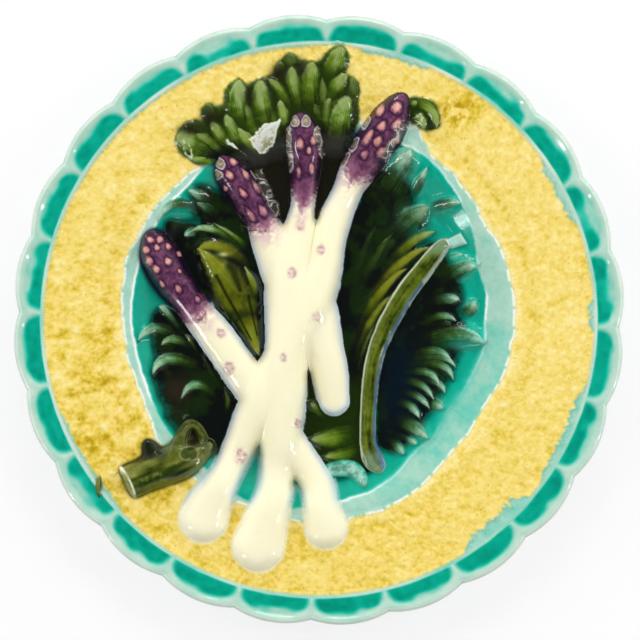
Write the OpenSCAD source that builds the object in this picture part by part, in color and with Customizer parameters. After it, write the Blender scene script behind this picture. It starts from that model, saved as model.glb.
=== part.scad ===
// Round plate with a lobed border and a bundle of asparagus on leaves in high relief.
// The clay body and its foot are turned; the border, leaves and spears are sprigs:
// pieces pressed in moulds of their own and luted to the body with a layer of slip.

/* [Plate] */
// Width across the tips of opposite border lobes
plate_d = 230; // [210:1:260]
// Height from the table to the crest of the border
plate_h = 25; // [24:0.5:32]
// Thickness of the clay under the well
floor_wall = 4.6; // [3.6:0.1:6]
// Thickness of the clay at the rim
rim_wall = 4.2; // [3:0.1:5.5]
// Number of lobes round the border
lobe_count = 24; // [18:1:28]
// Depth of the notch between two lobes
notch_depth = 2.2; // [1.2:0.1:3.4]

/* [Foot] */
// Outer diameter of the foot ring
foot_d = 126; // [112:1:134]
// Width of the foot ring where it meets the body
foot_w = 7; // [5:0.5:9]
// Width of the ring's resting face
rest_w = 4; // [2:0.5:4.5]
// Height of the foot ring
foot_h = 4.9; // [4.5:0.1:7]

/* [Well and rim] */
// Diameter of the flat floor of the well
floor_d = 116; // [104:1:122]
// Diameter where the wall of the well meets the rim
well_d = 147; // [142:1:156]
// Height of the wall of the well
well_rise = 6.6; // [5:0.1:8]
// Diameter of the groove that runs round the rim
groove_d = 161; // [160:0.5:168]
// Width of the groove
groove_w = 3; // [2:0.1:4]
// Depth of the groove
groove_depth = 0.5; // [0.2:0.1:1]

/* [Border] */
// Width of the lobed border, measured at the tip of a lobe
border_w = 10; // [9:0.1:11]
// Height of the raised edge of a lobe
border_rise = 1.6; // [1:0.1:2.4]
// Width of the raised edge left at the tip of a lobe
lobe_edge = 2.2; // [1.8:0.1:3]
// Width of the bead between the border and the rim
bead_w = 2.6; // [1.6:0.1:3]
// Height of the bead
bead_h = 1.1; // [0.6:0.1:1.6]

/* [Relief] */
// Layer of slip between two pieces
slip = 0.3; // [0.2:0.05:0.4]
// Thickness of a sprig at its edge
edge_t = 0.5; // [0.3:0.1:1]
// Height of a spear where it lies on the floor of the well
spear_h = 8; // [6:0.5:9]
// Length of a scale on a spear tip
scale_l = 3.4; // [2.6:0.1:4]
// Width of a scale on a spear tip
scale_w = 2.2; // [1.6:0.1:3]
// Height of a scale on a spear tip
scale_h = 0.9; // [0.6:0.1:1.5]
// Diameter of a bud scale on a stalk
bud_d = 3.4; // [2.4:0.1:4.4]
// Height of a bud scale on a stalk
bud_h = 0.7; // [0.5:0.1:1.2]
// Thickness of a leaf in the furrows between its blades
leaf_t = 1.2; // [0.8:0.1:2]
// Height of a blade's keel above the furrows
blade_h = 1.8; // [1:0.1:2.6]
// Height of the rolled midrib of the large leaf
rib_h = 4.6; // [3:0.2:6]
// Height of the cut stem
stem_h = 6.4; // [4:0.2:7]

/* [Hidden] */

// Lengths that follow from the sizes above
plate_r = plate_d / 2;
border_r = plate_r - border_w;
bead_r = border_r - bead_w / 2 - slip;
floor_r = floor_d / 2;
well_r = well_d / 2;
foot_r = foot_d / 2;
floor_z = foot_h + floor_wall;
rim_z = floor_z + well_rise;
crest_z = plate_h - border_rise - slip;
overrun = 1;

// The upper surface of the body: flat floor, wall of the well as half a wave,
// then the rim with its groove, rising in a straight line to the edge
wall_steps = 8;
edge_r = plate_r + overrun;
rim_slope = (crest_z - rim_z) / (plate_r - well_r);
function rim_line(r) = rim_z + (r - well_r) * rim_slope;
function wave(share) = (1 - cos(180 * share)) / 2;
well_line = [for (i = [0 : wall_steps])
    [floor_r + (well_r - floor_r) * i / wall_steps, floor_z + well_rise * wave(i / wall_steps)]];
groove_line = [
    [groove_d / 2 - groove_w / 2, rim_line(groove_d / 2 - groove_w / 2)],
    [groove_d / 2, rim_line(groove_d / 2) - groove_depth],
    [groove_d / 2 + groove_w / 2, rim_line(groove_d / 2 + groove_w / 2)]
];
top_line = concat([[0, floor_z]], well_line, groove_line, [[edge_r, rim_line(edge_r)]]);
function ground(q) = lookup(norm([q.x, q.y]), top_line);

// Scallops: circles whose outer arcs meet at the notches
lobe_angle = 360 / lobe_count;
lobe_turn = 6;
notch_r = plate_r - notch_depth;
half_cos = cos(lobe_angle / 2);
lobe_r = (plate_r * plate_r + notch_r * notch_r - 2 * plate_r * notch_r * half_cos)
    / (2 * plate_r - 2 * notch_r * half_cos);

// The relief is laid out on a drawing of the plate seen from above, with x to the right
// and y downwards: the x and y of its centre, and its radius
drawing_px = [319, 319.8, 306.5];
px = plate_r / drawing_px[2];
function place(p) = [(p.x - drawing_px.x) * px, (drawing_px.y - p.y) * px];

// Ridges: x, y and half width in drawing pixels, then the height as a share of
// spear_h, rib_h or stem_h. A spear's tip starts at its point and ends at its stalk
left_tip_px_shares = [
    [151, 236, 8, 0.4], [156, 246, 17, 0.8], [163.5, 264, 20.5, 0.95], [176, 285, 18.5, 1],
    [188.5, 303, 16.5, 1], [197.5, 316, 14.5, 1]
];
left_stalk_px_shares = [
    [199, 318, 14.5, 1], [213, 337, 17, 1], [248, 388, 18, 1.05], [285, 450, 18, 1.05],
    [309, 494, 17.5, 1], [322, 524, 18, 0.7], [327, 541, 14, 0.5], [329, 548, 8, 0.3]
];
second_tip_px_shares = [
    [222, 161, 7, 0.4], [228, 171, 14.5, 0.75], [240, 186, 18, 0.9], [251, 202, 17, 1],
    [260, 217, 15, 1], [267, 229, 14, 1]
];
second_stalk_px_shares = [
    [268.5, 231, 14, 1], [276, 249, 16.5, 1], [288, 280, 18, 1.05], [303, 310, 18, 1.05],
    [321, 348, 18, 1], [331, 380, 17.5, 0.9], [336, 402, 14.5, 0.7], [338, 412, 8, 0.4]
];
right_tip_px_shares = [
    [402, 99, 8, 0.3], [395, 110, 17, 0.6], [386, 127, 21.5, 0.75], [372, 149, 21, 0.9],
    [358, 172, 17, 1], [351, 187, 14, 1]
];
right_stalk_px_shares = [
    [350, 189, 14, 1], [338, 214, 16.5, 1], [331, 242, 18, 1.15], [318, 290, 19, 1.35],
    [292, 340, 19.5, 1.4], [258, 405, 19.5, 1.35], [232, 456, 19, 1.05], [209, 504, 20, 0.75],
    [201, 525, 18, 0.55], [197, 537, 12, 0.4]
];
centre_tip_px_shares = [
    [300, 118, 8, 0.4], [302, 128, 15, 0.75], [304, 143, 19, 0.9], [305, 165, 16, 1],
    [304, 188, 13.5, 1], [302.5, 205, 11.5, 1]
];
centre_stalk_px_shares = [
    [302, 207, 11.5, 1], [298, 232, 16, 1.15], [288, 275, 19, 1.45], [281, 330, 19, 1.65],
    [276, 400, 19, 1.65], [269, 462, 19, 1.3], [262, 515, 21, 0.85], [258, 550, 22, 0.55],
    [257, 566, 14, 0.35]
];
midrib_px_shares = [
    [445, 245, 5, 0.7], [429, 266, 7, 0.9], [405, 298, 8.5, 1], [384, 332, 8, 1],
    [373, 366, 7, 0.95], [368, 404, 6.5, 0.9], [369, 442, 6.5, 0.8], [376, 468, 7, 0.5]
];
fold_px_shares = [
    [326, 471, 3.5, 0.5], [342, 471, 4.5, 0.6], [354, 470, 5, 0.7], [361, 476, 4.5, 0.5],
    [363, 483, 3, 0.4]
];
stem_px_shares = [
    [126, 482, 15, 0.6], [134, 479, 17, 0.8], [152, 473, 17.5, 0.9], [175, 464, 17, 1],
    [192, 456, 15, 1], [204, 450, 11, 0.9]
];
shoot_px_shares = [[171, 443, 6.5, 0.7], [175, 435, 5, 0.8], [178, 426, 3.5, 0.6]];
stub_px_shares = [[151, 442, 4, 0.5], [155, 453, 8.5, 0.7]];
// The spears in the order in which they are laid: each layer rests on those before it
spear_layers = [
    [left_tip_px_shares, left_stalk_px_shares, second_tip_px_shares, second_stalk_px_shares],
    [right_tip_px_shares, right_stalk_px_shares],
    [centre_tip_px_shares, centre_stalk_px_shares]
];

// Places of the scales on the tips and of the buds on the stalks
left_scales_px = [
    [151, 241], [160, 241], [148, 251], [157, 250], [167, 250], [151, 262], [158, 271],
    [168, 262], [177, 272], [164, 285], [179, 289]
];
second_scales_px = [
    [221, 167], [231, 166], [232, 178], [243, 177], [241, 192], [253, 190], [250, 209], [260, 209]
];
right_scales_px = [
    [384, 112], [396, 112], [384, 126], [396, 128], [369, 136], [379, 145], [385, 154], [366, 157]
];
centre_scales_px = [
    [297, 128], [308, 129], [300, 145], [309, 151], [311, 168], [300, 173], [293, 150], [315, 141]
];
buds_px = [
    [299, 226], [292, 272], [322, 250], [309, 308], [283, 357], [221, 336], [228, 366], [240, 452]
];

// Leaves: one rib a line, as root, middle and tip in drawing pixels, in clockwise
// order. The first rib is a furrow, the next the keel of a blade, and so on in turn
crest_left_ribs_px = [
    [210, 168, 196, 166, 184, 161], [211, 163, 196, 154, 179, 140],
    [213, 159, 200, 146, 184, 131], [215, 156, 204, 140, 191, 124],
    [218, 154, 209, 138, 199, 122], [221, 152, 214, 130, 206, 105],
    [224, 151, 219, 130, 213, 110], [227, 150, 223, 128, 218, 105],
    [230, 150, 228, 130, 225, 112]
];
crest_middle_ribs_px = [
    [233, 152, 233, 140, 231, 128], [237, 152, 234, 134, 227, 117],
    [241, 151, 237, 125, 229, 103], [245, 149, 241, 115, 235, 83],
    [249, 147, 249, 118, 249, 92], [254, 145, 258, 112, 262, 82],
    [259, 142, 264, 112, 268, 86], [264, 139, 271, 107, 272, 78],
    [269, 136, 276, 104, 275, 72], [273, 132, 282, 92, 285, 57],
    [277, 128, 288, 95, 291, 64], [280, 123, 293, 90, 297, 57],
    [286, 115, 299, 88, 306, 62]
];
crest_right_ribs_px = [
    [300, 109, 306, 88, 309, 62], [306, 109, 312, 85, 316, 60],
    [311, 111, 320, 88, 324, 62], [315, 114, 328, 82, 339, 50],
    [319, 117, 333, 92, 343, 64], [322, 121, 336, 98, 347, 70],
    [326, 126, 339, 104, 351, 80], [328, 131, 341, 111, 358, 86],
    [330, 136, 342, 119, 356, 103], [332, 141, 342, 127, 353, 115],
    [333, 146, 340, 136, 347, 128]
];
crest_curl_ribs_px = [
    [419, 102, 424, 100, 430, 104], [419, 109, 427, 109, 436, 112],
    [419, 117, 426, 119, 432, 122], [417, 125, 420, 129, 425, 131]
];
hollow_left_ribs_px = [
    [243, 157, 260, 152, 276, 143], [252, 166, 266, 164, 279, 158],
    [262, 178, 273, 176, 284, 172], [270, 191, 279, 190, 287, 187],
    [278, 204, 283, 203, 287, 201]
];
hollow_right_ribs_px = [
    [328, 149, 334, 148, 341, 147], [325, 160, 331, 159, 337, 158],
    [323, 172, 328, 172, 334, 171], [321, 184, 326, 184, 331, 184],
    [318, 196, 322, 196, 326, 195]
];
left_upper_ribs_px = [
    [252, 345, 218, 299, 191, 250], [253, 342, 226, 298, 200, 258],
    [254, 339, 231, 294, 204, 254], [255, 336, 236, 289, 212, 256],
    [256, 333, 240, 283, 208, 247], [257, 329, 245, 274, 199, 245],
    [258, 325, 247, 265, 201, 239], [259, 319, 248, 257, 187, 233],
    [259, 312, 246, 247, 190, 225], [259, 305, 244, 239, 165, 219],
    [259, 297, 242, 231, 193, 206], [258, 289, 238, 222, 189, 192],
    [257, 280, 235, 214, 208, 181]
];
left_lower_ribs_px = [
    [219, 431, 208, 431, 192, 430], [222, 423, 206, 420, 185, 419],
    [223, 415, 203, 410, 174, 411], [222, 406, 200, 400, 163, 400],
    [219, 398, 194, 389, 159, 388], [213, 389, 188, 377, 154, 375],
    [207, 380, 184, 366, 153, 362], [202, 371, 178, 354, 140, 344],
    [196, 362, 175, 345, 149, 336], [191, 353, 173, 337, 148, 326],
    [186, 344, 171, 330, 151, 318], [181, 335, 170, 322, 157, 308],
    [176, 326, 168, 315, 161, 304]
];
inner_ribs_px = [
    [356, 402, 347, 310, 363, 208], [356.5, 400, 351, 307, 374, 192],
    [357, 398, 355, 304, 384, 176], [357.5, 396, 359, 301, 411, 154],
    [358, 394, 363, 298, 415, 170], [358.5, 392, 367, 296, 428, 169],
    [359, 390, 371, 294, 424, 193], [359.5, 388, 375, 292, 458, 203],
    [360, 386, 379, 291, 432, 220], [360.5, 384, 383, 290, 446, 222],
    [361, 382, 386, 290, 434, 238]
];
heel_ribs_px = [
    [314, 425, 334, 426, 354, 419], [311, 434, 332, 436, 356, 429],
    [316, 444, 335, 447, 357, 440], [322, 454, 339, 456, 358, 451],
    [329, 462, 344, 463, 357, 460]
];
outer_ribs_px = [
    [454, 252, 458, 254, 462, 257], [447, 260, 460, 264, 475, 268],
    [440, 269, 450, 277, 463, 284], [433, 278, 445, 289, 460, 297],
    [427, 286, 445, 297, 464, 303], [421, 294, 446, 306, 476, 310],
    [416, 302, 438, 313, 462, 317], [411, 310, 433, 319, 457, 322],
    [407, 318, 430, 327, 460, 329], [403, 326, 440, 335, 484, 344],
    [400, 334, 428, 344, 460, 352], [397, 342, 430, 352, 460, 363],
    [394, 350, 420, 359, 448, 369], [391, 358, 424, 366, 454, 380],
    [389, 367, 414, 374, 440, 382], [387, 376, 415, 381, 441, 389],
    [386, 385, 408, 389, 431, 394], [385, 394, 412, 396, 440, 400],
    [384, 403, 402, 404, 424, 407], [383, 412, 404, 411, 431, 413],
    [383, 421, 398, 420, 418, 421], [383, 430, 402, 429, 428, 440],
    [383, 438, 395, 439, 410, 447], [384, 446, 391, 449, 400, 457],
    [386, 455, 389, 460, 392, 467]
];

// A closed solid between two grids of points of the same size, row by row. Seen
// from above, the rows follow each other clockwise round the ends of their columns
module quilt(upper, lower) {
    rows = len(upper);
    columns = len(upper[0]);
    count = rows * columns;
    function at(i, j) = i * columns + j;
    function quad(a, b, c, d) = [[a, b, c], [a, c, d]];
    skins = [for (i = [0 : rows - 2], j = [0 : columns - 2])
        let (a = at(i, j), b = at(i, j + 1), c = at(i + 1, j + 1), d = at(i + 1, j))
        each concat(quad(a, b, c, d), quad(count + a, count + d, count + c, count + b))];
    sides = [for (i = [0 : rows - 2])
        let (a = at(i, 0), b = at(i + 1, 0), c = at(i, columns - 1), d = at(i + 1, columns - 1))
        each concat(quad(a, b, count + b, count + a), quad(d, c, count + c, count + d))];
    ends = [for (j = [0 : columns - 2])
        let (a = at(0, j), b = at(0, j + 1), c = at(rows - 1, j), d = at(rows - 1, j + 1))
        each concat(quad(b, a, count + a, count + b), quad(c, d, count + d, count + c))];
    points = concat([for (row = upper) each row], [for (row = lower) each row]);
    polyhedron(points, concat(skins, sides, ends));
}

// A smooth curve through the stations of a ridge, with a few rings to a station,
// and more of them where a piece carries or crosses others
plain_rings = 3;
fine_rings = 6;
function bend(a, b, c, d, t) =
    let (from = (c - a) / 2, to = (d - b) / 2)
    b + t * (from + t * (3 * (c - b) - 2 * from - to + t * (2 * (b - c) + from + to)));
function smooth(s, rings) = let (n = len(s) - 1) concat(
    [for (i = [0 : n - 1], k = [0 : rings - 1])
        let (before = i > 0 ? s[i - 1] : 2 * s[0] - s[1])
        let (after = i < n - 1 ? s[i + 2] : 2 * s[n] - s[n - 1])
        bend(before, s[i], s[i + 1], after, k / rings)],
    [s[n]]);

// Height above the table of the upper surface of a ridge at q, or 0 beside it.
// The ridge is taken wider by room on each side
function near(q, a, b) = max(0, min(1, ((q - a) * (b - a)) / ((b - a) * (b - a))));
function top_at(q, a, b, h, room) =
    let (qa = place(a), qb = place(b), t = near(q, qa, qb), s = a + (b - a) * t)
    let (d = norm(q - qa - (qb - qa) * t) / (s[2] * px + room))
    d < 1 ? ground(q) + h * s[3] * sqrt(1 - d * d) : 0;
function ridge_top(q, s, h, room = 0) =
    max([for (i = [0 : len(s) - 2]) top_at(q, s[i], s[i + 1], h, room)]);

// Height at q of the body with its first layers of spears. A stalk is kept an edge
// thick where it crosses others
crossing_room = edge_t * 3;
function pile(q, layers, room) = layers == 0 ? ground(q) :
    let (top = max([for (s = spear_layers[layers - 1]) ridge_top(q, s, spear_h, room)]))
    top > 0 ? max(top, pile(q, layers - 1, crossing_room) + slip + edge_t)
        : pile(q, layers - 1, room);

// A ridge with a round back, which rests on the body and on the layers below it
back_steps = 10;
module ridge(stations, h, layers = 0, rings = plain_rings) {
    curve = smooth(stations, rings);
    last = len(curve) - 1;
    spots = [for (i = [0 : last])
        let (a = place(curve[max(0, i - 1)]), b = place(curve[min(last, i + 1)]))
        let (along = (b - a) / norm(b - a), across = [-along.y, along.x])
        [for (j = [0 : back_steps])
            let (turn = 180 * j / back_steps - 90)
            let (q = place(curve[i]) + across * curve[i][2] * px * sin(turn))
            let (bottom = slip + pile(q, layers, crossing_room))
            [q.x, q.y, bottom, ground(q) + h * curve[i][3] * cos(turn)]]];
    quilt(
        [for (row = spots) [for (s = row) [s.x, s.y, max(s[3], s[2] + edge_t)]]],
        [for (row = spots) [for (s = row) [s.x, s.y, s[2]]]]
    );
}

// A leaf whose ribs are in turn furrows and keels of blades
keel_root_share = 0.5;
leaf_tip_share = 0.6;
function rib_point(r, t) = place(
    [r[0], r[1]] * (1 - t) * (1 - 2 * t) + [r[2], r[3]] * 4 * t * (1 - t)
    + [r[4], r[5]] * t * (2 * t - 1));
function keel(t) = t < 0.5 ? keel_root_share + (1 - keel_root_share) * 2 * t : 2 - 2 * t;
module leaf(ribs, steps = 8) {
    spots = [for (i = [0 : len(ribs) - 1]) [for (j = [0 : steps])
        let (t = j / steps, q = rib_point(ribs[i], t), z = ground(q) + slip)
        let (t_leaf = leaf_t * (1 - (1 - leaf_tip_share) * t))
        [q.x, q.y, z, z + t_leaf + (i % 2 == 1 ? blade_h * keel(t) : 0)]]];
    quilt(
        [for (row = spots) [for (s = row) [s.x, s.y, s[3]]]],
        [for (row = spots) [for (s = row) [s.x, s.y, s[2]]]]
    );
}

// A low dome pressed on to the spears, with its long side along a direction
pad_steps = 10;
pad_rings_shares = [[1, 0.35], [0.75, 0.8], [0.35, 0.98]];
module pad(p, turn, l, w, h) {
    q = place(p);
    n = pad_steps;
    m = len(pad_rings_shares);
    function spot(share, k) = let (a = 360 * k / n)
        let (x = l / 2 * share * cos(a), y = w / 2 * share * sin(a))
        q + [x * cos(turn) - y * sin(turn), x * sin(turn) + y * cos(turn)];
    function on_seat(s, rise) = [s.x, s.y, slip + pile(s, len(spear_layers), 0) + rise];
    upper = [for (r = pad_rings_shares, k = [0 : n - 1]) on_seat(spot(r[0], k), h * r[1])];
    base = [for (k = [0 : n - 1]) on_seat(spot(1, k), 0)];
    points = concat(upper, base, [on_seat(q, h), on_seat(q, 0)]);
    apex = (m + 1) * n;
    faces = [for (k = [0 : n - 1]) let (next = (k + 1) % n) each concat(
        [for (i = [0 : m - 2]) [i * n + k, (i + 1) * n + k, (i + 1) * n + next]],
        [for (i = [0 : m - 2]) [i * n + k, (i + 1) * n + next, i * n + next]],
        [[k, next, m * n + next], [k, m * n + next, m * n + k]],
        [[(m - 1) * n + next, (m - 1) * n + k, apex], [m * n + k, m * n + next, apex + 1]]
    )];
    polyhedron(points, faces);
}

module tip_scales(places, tip) {
    first = place(tip[0]);
    last = place(tip[len(tip) - 1]);
    turn = atan2(first.y - last.y, first.x - last.x);
    for (p = places) pad(p, turn, scale_l, scale_w, scale_h);
}

// The turned body, cut to the lobed outline
module body_section() {
    underside = [
        [edge_r, rim_line(edge_r) - rim_wall], [well_r, rim_z - rim_wall],
        [foot_r + slip, foot_h], [0, foot_h]
    ];
    polygon(concat(top_line, underside));
}

module lobed_outline() {
    circle(border_r);
    for (i = [0 : lobe_count - 1])
        rotate(i * lobe_angle + lobe_turn) translate([plate_r - lobe_r, 0]) circle(lobe_r);
}

module plate_body() {
    color([0.97, 0.86, 0.45]) intersection() {
        rotate_extrude($fn = 180) body_section();
        linear_extrude(plate_h, $fn = 180) lobed_outline();
    }
}

module foot_ring() {
    inner_r = foot_r - foot_w;
    rest_in = foot_r - foot_w / 2 - rest_w / 2;
    color([0.88, 0.84, 0.74]) rotate_extrude($fn = 180) polygon([
        [inner_r, foot_h - slip], [rest_in, 0], [rest_in + rest_w, 0], [foot_r, foot_h - slip]
    ]);
}

// The border: a raised edge round each lobe, with the hollow of the lobe cut through
module lobed_border() {
    hollow_out = plate_r - lobe_edge;
    hollow_in = border_r + lobe_edge / 2;
    hollow_r = (hollow_out - hollow_in) / 2;
    hollow_l = border_r * sin(lobe_angle / 2) - hollow_r - lobe_edge / 2;
    base_z = rim_line(border_r) + slip;
    color([0.55, 0.83, 0.78]) difference() {
        intersection() {
            rotate_extrude($fn = 180) polygon([
                [border_r, base_z], [edge_r, rim_line(edge_r) + slip],
                [edge_r, plate_h], [border_r, plate_h - border_rise / 2]
            ]);
            linear_extrude(plate_h + overrun, $fn = 180) lobed_outline();
        }
        for (i = [0 : lobe_count - 1]) rotate(i * lobe_angle + lobe_turn)
            translate([hollow_in + hollow_r, 0, 0]) linear_extrude(plate_h + overrun) {
                for (side = [-1, 1]) translate([0, side * hollow_l]) circle(hollow_r, $fn = 48);
                square([2 * hollow_r, 2 * hollow_l], center = true);
            }
    }
}

module border_bead() {
    steps = 12;
    arc = [for (i = [0 : steps]) let (a = 180 * i / steps, r = bead_r + bead_w / 2 * cos(a))
        [r, rim_line(r) + slip + bead_h * sin(a)]];
    color([0.85, 0.91, 0.84]) rotate_extrude($fn = 180) polygon(arc);
}

module crest_leaf_left() {
    color([0.28, 0.42, 0.12]) leaf(crest_left_ribs_px);
}

module crest_leaf_middle() {
    color([0.31, 0.46, 0.14]) leaf(crest_middle_ribs_px, 10);
}

module crest_leaf_right() {
    color([0.34, 0.49, 0.14]) leaf(crest_right_ribs_px, 10);
}

module crest_leaf_curl() {
    color([0.30, 0.38, 0.14]) leaf(crest_curl_ribs_px);
}

module crest_hollow_left() {
    color([0.13, 0.17, 0.07]) leaf(hollow_left_ribs_px);
}

module crest_hollow_right() {
    color([0.13, 0.17, 0.07]) leaf(hollow_right_ribs_px);
}

module left_leaf_upper() {
    color([0.25, 0.36, 0.12]) leaf(left_upper_ribs_px, 20);
}

module left_leaf_lower() {
    color([0.20, 0.33, 0.20]) leaf(left_lower_ribs_px, 10);
}

module large_leaf_inner() {
    color([0.17, 0.27, 0.10]) leaf(inner_ribs_px, 30);
}

module large_leaf_outer() {
    color([0.12, 0.35, 0.28]) leaf(outer_ribs_px, 10);
}

module large_leaf_midrib() {
    color([0.45, 0.50, 0.22]) ridge(midrib_px_shares, rib_h);
}

module large_leaf_heel() {
    color([0.17, 0.27, 0.10]) leaf(heel_ribs_px);
}

module large_leaf_fold() {
    color([0.55, 0.75, 0.68]) ridge(fold_px_shares, rib_h);
}

module cut_stem() {
    color([0.36, 0.41, 0.15]) ridge(stem_px_shares, stem_h);
}

module stem_shoot() {
    color([0.42, 0.47, 0.17]) ridge(shoot_px_shares, stem_h);
}

module stem_stub() {
    color([0.30, 0.35, 0.13]) ridge(stub_px_shares, stem_h);
}

module left_spear_stalk() {
    color([1, 0.97, 0.84]) ridge(left_stalk_px_shares, spear_h);
}

module second_spear_stalk() {
    color([1, 0.97, 0.84]) ridge(second_stalk_px_shares, spear_h);
}

module right_spear_stalk() {
    color([1, 0.97, 0.84]) ridge(right_stalk_px_shares, spear_h, 1, fine_rings);
}

module centre_spear_stalk() {
    color([1, 0.97, 0.84]) ridge(centre_stalk_px_shares, spear_h, 2, fine_rings);
}

module left_spear_tip() {
    color([0.36, 0.18, 0.32]) ridge(left_tip_px_shares, spear_h, 0, fine_rings);
}

module second_spear_tip() {
    color([0.36, 0.18, 0.32]) ridge(second_tip_px_shares, spear_h, 0, fine_rings);
}

module right_spear_tip() {
    color([0.36, 0.18, 0.32]) ridge(right_tip_px_shares, spear_h, 0, fine_rings);
}

module centre_spear_tip() {
    color([0.36, 0.18, 0.32]) ridge(centre_tip_px_shares, spear_h, 0, fine_rings);
}

module left_tip_scales() {
    color([0.86, 0.60, 0.58]) tip_scales(left_scales_px, left_tip_px_shares);
}

module second_tip_scales() {
    color([0.86, 0.60, 0.58]) tip_scales(second_scales_px, second_tip_px_shares);
}

module right_tip_scales() {
    color([0.86, 0.60, 0.58]) tip_scales(right_scales_px, right_tip_px_shares);
}

module centre_tip_scales() {
    color([0.86, 0.60, 0.58]) tip_scales(centre_scales_px, centre_tip_px_shares);
}

module stalk_buds() {
    color([0.93, 0.80, 0.72]) for (p = buds_px) pad(p, 0, bud_d, bud_d, bud_h);
}

plate_body();
foot_ring();
lobed_border();
border_bead();
crest_leaf_left();
crest_leaf_middle();
crest_leaf_right();
crest_leaf_curl();
crest_hollow_left();
crest_hollow_right();
left_leaf_upper();
left_leaf_lower();
large_leaf_inner();
large_leaf_outer();
large_leaf_midrib();
large_leaf_heel();
large_leaf_fold();
cut_stem();
stem_shoot();
stem_stub();
left_spear_stalk();
second_spear_stalk();
right_spear_stalk();
centre_spear_stalk();
left_spear_tip();
second_spear_tip();
right_spear_tip();
centre_spear_tip();
left_tip_scales();
second_tip_scales();
right_tip_scales();
centre_tip_scales();
stalk_buds();
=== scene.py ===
"""Looks of the asparagus plate: its relief, its lobed border and its glazes.

The relief is worked out as one glazed surface: each sprig has a height of its own over the
plate, the sprigs are joined by a fillet as a thick glaze joins them, and each piece's mesh is
that surface where the piece lies on top, and dips under its neighbours elsewhere.
The glazes are painted on the meshes' points by the same fields, as they run into each other.
Places on the plate are in pixels of a drawing seen from above, x to the right and y down.
"""

import math
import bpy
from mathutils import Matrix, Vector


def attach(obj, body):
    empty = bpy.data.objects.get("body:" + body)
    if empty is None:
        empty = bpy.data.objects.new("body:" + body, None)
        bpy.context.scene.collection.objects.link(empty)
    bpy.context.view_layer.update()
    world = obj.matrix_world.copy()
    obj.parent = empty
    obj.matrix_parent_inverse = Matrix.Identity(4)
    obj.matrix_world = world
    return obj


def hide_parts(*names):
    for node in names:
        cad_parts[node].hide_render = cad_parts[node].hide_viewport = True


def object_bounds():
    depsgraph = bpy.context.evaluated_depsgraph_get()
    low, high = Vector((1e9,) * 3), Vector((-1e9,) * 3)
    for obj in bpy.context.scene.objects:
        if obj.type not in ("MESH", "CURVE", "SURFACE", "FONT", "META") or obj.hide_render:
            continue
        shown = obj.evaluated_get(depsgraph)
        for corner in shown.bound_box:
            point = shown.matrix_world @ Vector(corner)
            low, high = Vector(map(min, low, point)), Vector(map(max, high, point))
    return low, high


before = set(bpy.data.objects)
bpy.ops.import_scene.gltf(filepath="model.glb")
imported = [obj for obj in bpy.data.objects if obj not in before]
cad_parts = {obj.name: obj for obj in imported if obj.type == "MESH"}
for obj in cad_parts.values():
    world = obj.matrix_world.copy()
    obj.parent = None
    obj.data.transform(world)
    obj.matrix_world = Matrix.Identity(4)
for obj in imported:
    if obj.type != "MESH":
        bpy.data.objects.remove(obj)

from types import SimpleNamespace

import bpy
import numpy as np
from mathutils import Vector

cad_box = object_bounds()

# ---------------------------------------------------------------- sizes, in metres
MM = 0.001
PLATE_R = 0.115
NOTCH_R = PLATE_R - 0.0022
BORDER_R = 0.105
BORDER_IN_R = 0.1046
FLOOR_R = 0.058
WELL_R = 0.0735
JOINT_R = 0.0738  # where the glaze of the rim meets that of the wall
LIP_R = 0.0752
LIP_H = 0.00028
GROOVE_R = 0.0805
GROOVE_W = 0.003
GROOVE_DEPTH = 0.00025
FOOT_R = 0.063
FOOT_IN_R = 0.056
REST_R = 0.0595
REST_HALF = 0.002
FOOT_H = 0.0049
FLOOR_Z = 0.0095
RIM_Z = 0.0161
CREST_Z = 0.0231
RIM_WALL = 0.0042
RIM_SLOPE = (CREST_Z - RIM_Z) / (PLATE_R - WELL_R)
TOP = cad_box[1].z / MM - 0.02
LOBES = 24
LOBE_TURN = 6.0
SKIRT = 1.2  # how far a layer of glaze goes down into the body, in mm

# ---------------------------------------------------------------- the drawing
CENTRE = (319.0, 319.8)
DRAWING_R = 306.5
PX = PLATE_R / DRAWING_R
IMAGE = 640
EDGE = 10.0
GRID = 0.6
NONE = -60.0


def ease(low, high, x):
    t = np.clip((x - low) / (high - low), 0, 1)
    return t * t * (3 - 2 * t)


def bell(x, middle, width):
    return np.exp(-(((x - middle) / width) ** 2))


def lattice(u, v, period, seed):
    """Smooth noise from 0 to 1 with features of size 1, which repeats in u."""
    table = np.random.RandomState(seed).rand(257, period)
    u, v = np.broadcast_arrays(u, v)
    i, j = np.floor(u).astype(int), np.floor(v).astype(int)
    s, t = ease(0, 1, u - i), ease(0, 1, v - j)
    first, second = (table[k % 257, i % period] * (1 - s) + table[k % 257, (i + 1) % period] * s
                     for k in (j, j + 1))
    return first * (1 - t) + second * t


def cloud(x, y, size, seed):
    """Mottling from 0 to 1, in three sizes."""
    return sum(share * lattice(x / (size * scale) + 7.3 * k, y / (size * scale), 256, seed + k)
               for k, (scale, share) in enumerate(((1.0, 0.5), (0.47, 0.3), (0.21, 0.2))))


def oval(x, y, at_x, at_y, long, wide, cos=1.0, sin=0.0):
    """Distance from the middle of an oval, which is 1 on its edge."""
    u, v = x - at_x, y - at_y
    return np.hypot((u * cos + v * sin) / long, (u * sin - v * cos) / wide)


def spot(*place):
    """A soft oval spot: 1 in its middle."""
    return bell(oval(*place), 0, 1)


def to_line(x, y, ax, ay, bx, by):
    """How far along a line places lie, from 0 to 1, and how far off it."""
    dx, dy = bx - ax, by - ay
    t = np.clip(((x - ax) * dx + (y - ay) * dy) / (dx ** 2 + dy ** 2), 0, 1)
    return t, np.hypot(x - ax - dx * t, y - ay - dy * t)


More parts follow.
